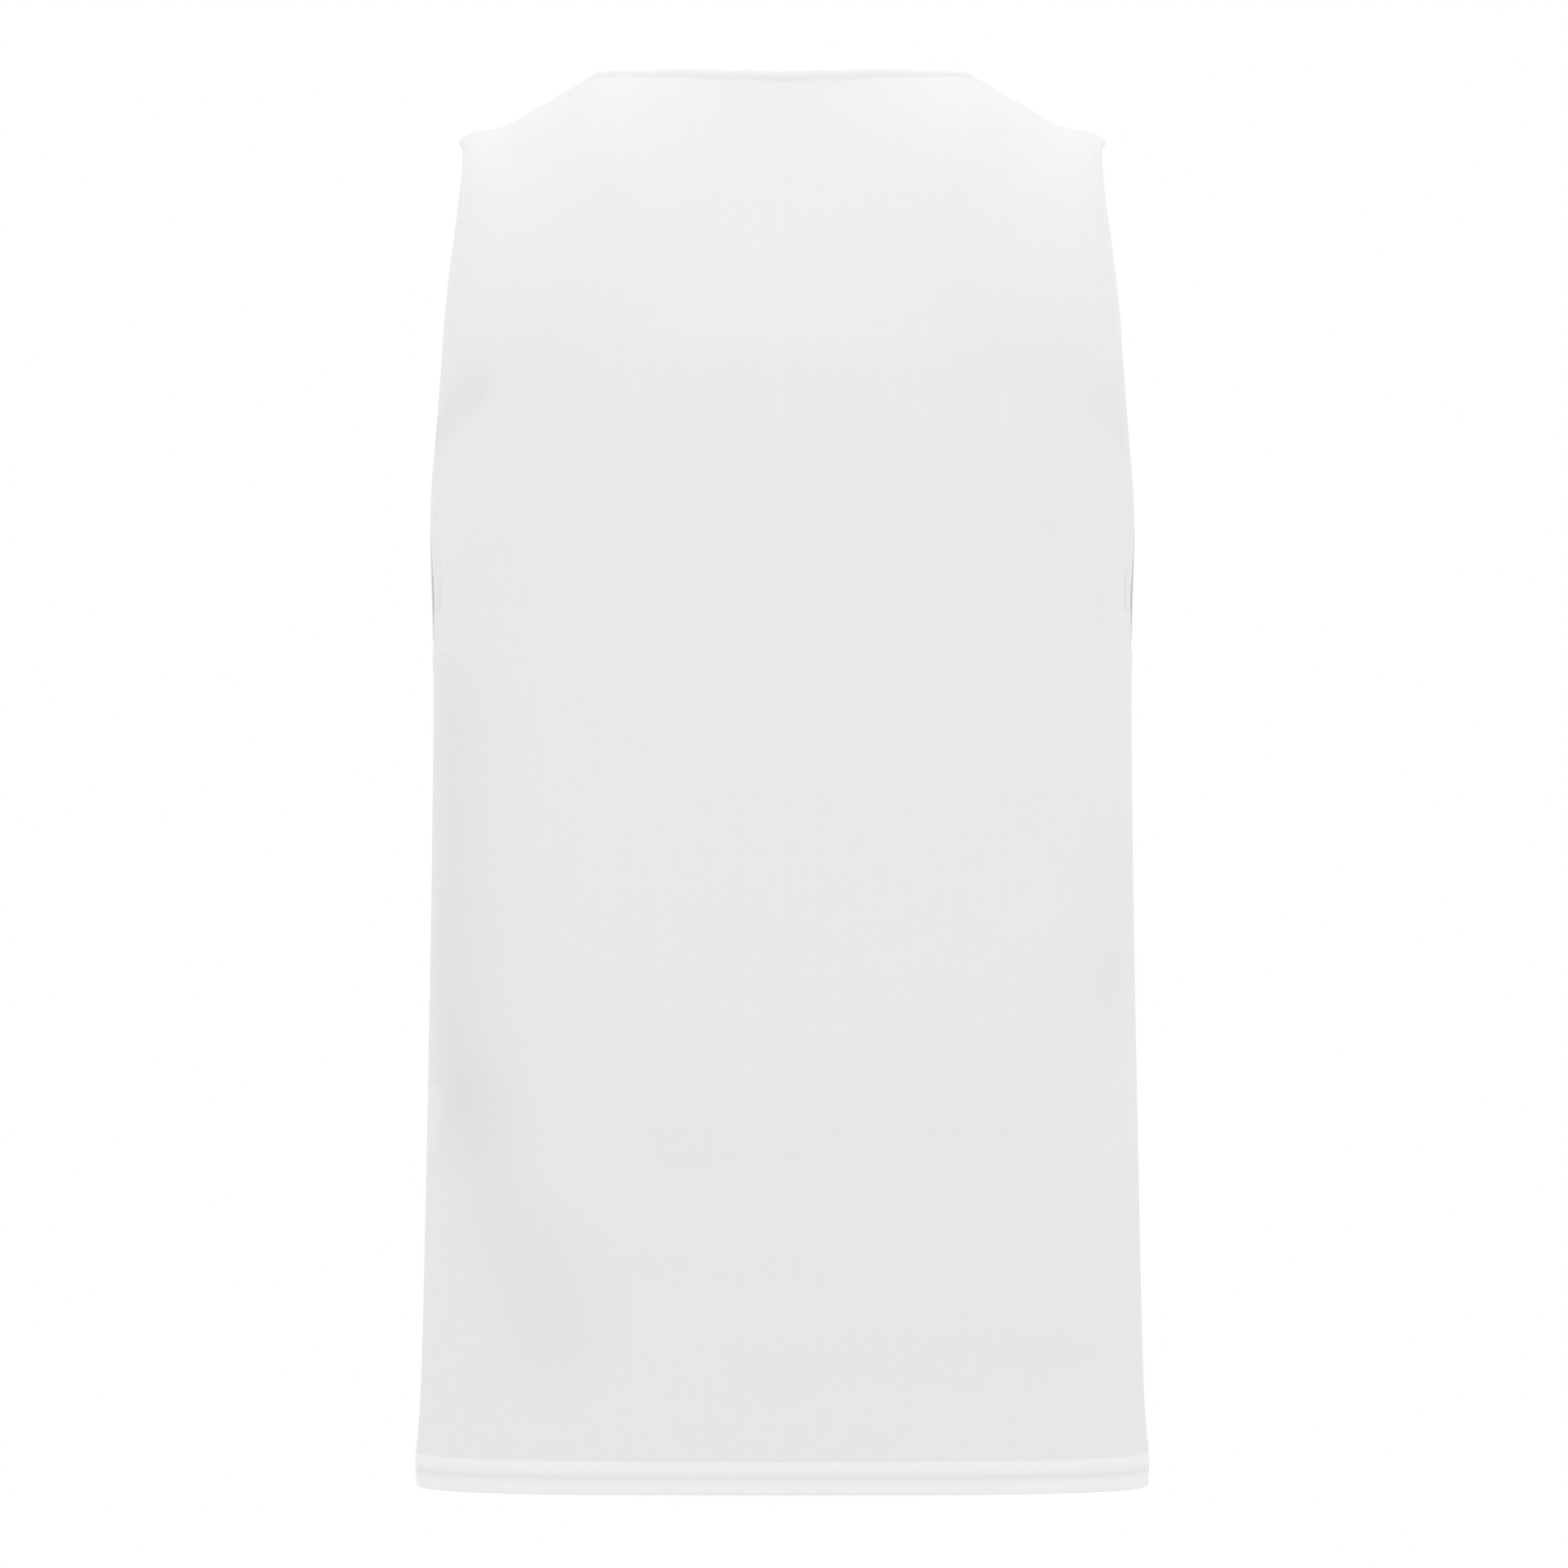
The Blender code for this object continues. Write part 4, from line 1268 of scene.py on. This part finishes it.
class JerseySizes(bpy.types.PropertyGroup):
    """Sizes of the sewing."""

    stitch_length: length("Stitch length", "Length of one stitch", 0.0022)
    stitch_gap: length("Stitch gap", "Space from one stitch to the next", 0.0005)
    thread: length("Thread", "Thickness of the sewing thread", 0.00024)
    label_thickness: length("Label thickness", "Thickness of the label's tape", 0.0003)


class JerseyLook(bpy.types.PropertyGroup):
    """Colours and the scale of the mesh."""

    cloth_colour: colour("Cloth", "Colour of the mesh", (0.869, 0.867, 0.8615))
    thread_colour: colour("Thread", "Colour of the thread", (0.90, 0.90, 0.895))
    label_colour: colour("Label", "Colour of the label", (0.9, 0.9, 0.89))
    hole_pitch: length("Hole pitch", "From one hole to the next in a row", 0.00255)
    hole_row: length("Hole row", "From one row of holes to the next", 0.00148)
    hole_width: length("Hole width", "Width of a hole", 0.00082)
    hole_height: length("Hole height", "Height of a hole", 0.00130)
    hole_dark: factor("Hole darkness", "How much darker a hole looks", 0.038)
    # Painted shade: how much the cloth's colour darkens per metre of that depth.
    painted_shade_strength: bpy.props.FloatProperty(
        name="Shade in folds",
        description="How much darker the cloth is for each metre of a fold's depth",
        default=10.0,
    )
    bump: factor("Relief", "Strength of the mesh's relief", 0.35)
    half_girth: length("Half girth", "Centre line to side seam at the label", 0.2575)
    floor_colour: colour("Floor", "Colour of the floor", (0.95, 0.95, 0.95))
    ceiling: factor("Ceiling", "Brightness of the studio's ceiling", 0.55)
    overhead: bpy.props.FloatProperty(
        name="Overhead light",
        description="Power of the soft light overhead",
        default=68.0,
        unit="POWER",
    )


CLOTHS = {}  # each built panel's form, for the label and the stitches


def declare(piece, node=None):
    """Attach a piece to the root body, and hide the solid it stands for."""
    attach(piece, "root")
    if node:
        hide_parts(node)


class JERSEY_OT_back(bpy.types.Operator):
    """Build the back panel's cloth"""

    bl_idname = "jersey.back"
    bl_label = "Back panel"

    def execute(self, context):
        material = mesh_cloth("mesh_back", context.scene.jersey_look, True)
        piece, CLOTHS[BACK] = build_cloth(BACK, "back_cloth", material)
        declare(piece, "back_panel")
        return {"FINISHED"}


class JERSEY_OT_front(bpy.types.Operator):
    """Build the front panel's cloth"""

    bl_idname = "jersey.front"
    bl_label = "Front panel"

    def execute(self, context):
        material = mesh_cloth("mesh_front", context.scene.jersey_look, False)
        piece, CLOTHS[FRONT] = build_cloth(FRONT, "front_cloth", material)
        declare(piece, "front_panel")
        return {"FINISHED"}


class JERSEY_OT_label(bpy.types.Operator):
    """Build the bare care label"""

    bl_idname = "jersey.label"
    bl_label = "Care label"

    def execute(self, context):
        scene = context.scene
        material = label_cloth("label_tape", scene.jersey_look)
        piece = build_label(CLOTHS[BACK], material, scene.jersey_sizes)
        declare(piece, "care_label")
        return {"FINISHED"}


class JERSEY_OT_stitching(bpy.types.Operator):
    """Sew the hem, the neck edge and the armhole edges"""

    bl_idname = "jersey.stitching"
    bl_label = "Stitching"

    def execute(self, context):
        sizes = context.scene.jersey_sizes
        material = thread_cloth("sewing_thread", context.scene.jersey_look)
        cloths = (CLOTHS[BACK], CLOTHS[FRONT])
        for name, lines in (
            ("hem_stitches", hem_lines(cloths, sizes)),
            ("neck_stitches", neck_lines(cloths, sizes)),
            ("armhole_stitches", armhole_lines(cloths, sizes)),
        ):
            piece = build_stitches(name, lines, sizes, material)
            declare(piece)
        return {"FINISHED"}


class JERSEY_OT_stage(bpy.types.Operator):
    """Set up the camera, the pale floor and the soft light"""

    bl_idname = "jersey.stage"
    bl_label = "Stage"

    def execute(self, context):
        look = context.scene.jersey_look
        build_camera()
        build_floor(look)
        build_surroundings(look)
        build_light(look.overhead)
        return {"FINISHED"}


class JERSEY_PT_panel(bpy.types.Panel):
    """The jersey's pieces in the sidebar"""

    bl_idname = "JERSEY_PT_panel"
    bl_label = "Basketball Jersey"
    bl_space_type = "VIEW_3D"
    bl_region_type = "UI"
    bl_category = "Jersey"

    def draw(self, context):
        for group in (context.scene.jersey_sizes, context.scene.jersey_look):
            for name in group.bl_rna.properties.keys():
                if name not in ("rna_type", "name"):
                    self.layout.prop(group, name)
        for operator in OPERATORS:
            self.layout.operator(operator.bl_idname)


OPERATORS = (
    JERSEY_OT_stage,
    JERSEY_OT_back,
    JERSEY_OT_front,
    JERSEY_OT_label,
    JERSEY_OT_stitching,
)
CLASSES = (JerseySizes, JerseyLook, *OPERATORS, JERSEY_PT_panel)


def register():
    for item in CLASSES:
        bpy.utils.register_class(item)
    bpy.types.Scene.jersey_sizes = bpy.props.PointerProperty(type=JerseySizes)
    bpy.types.Scene.jersey_look = bpy.props.PointerProperty(type=JerseyLook)


def unregister():
    del bpy.types.Scene.jersey_look
    del bpy.types.Scene.jersey_sizes
    for item in reversed(CLASSES):
        bpy.utils.unregister_class(item)


def main():
    register()
    bpy.ops.jersey.stage()
    bpy.ops.jersey.back()
    bpy.ops.jersey.front()
    bpy.ops.jersey.label()
    bpy.ops.jersey.stitching()


if __name__ == "__main__":
    main()
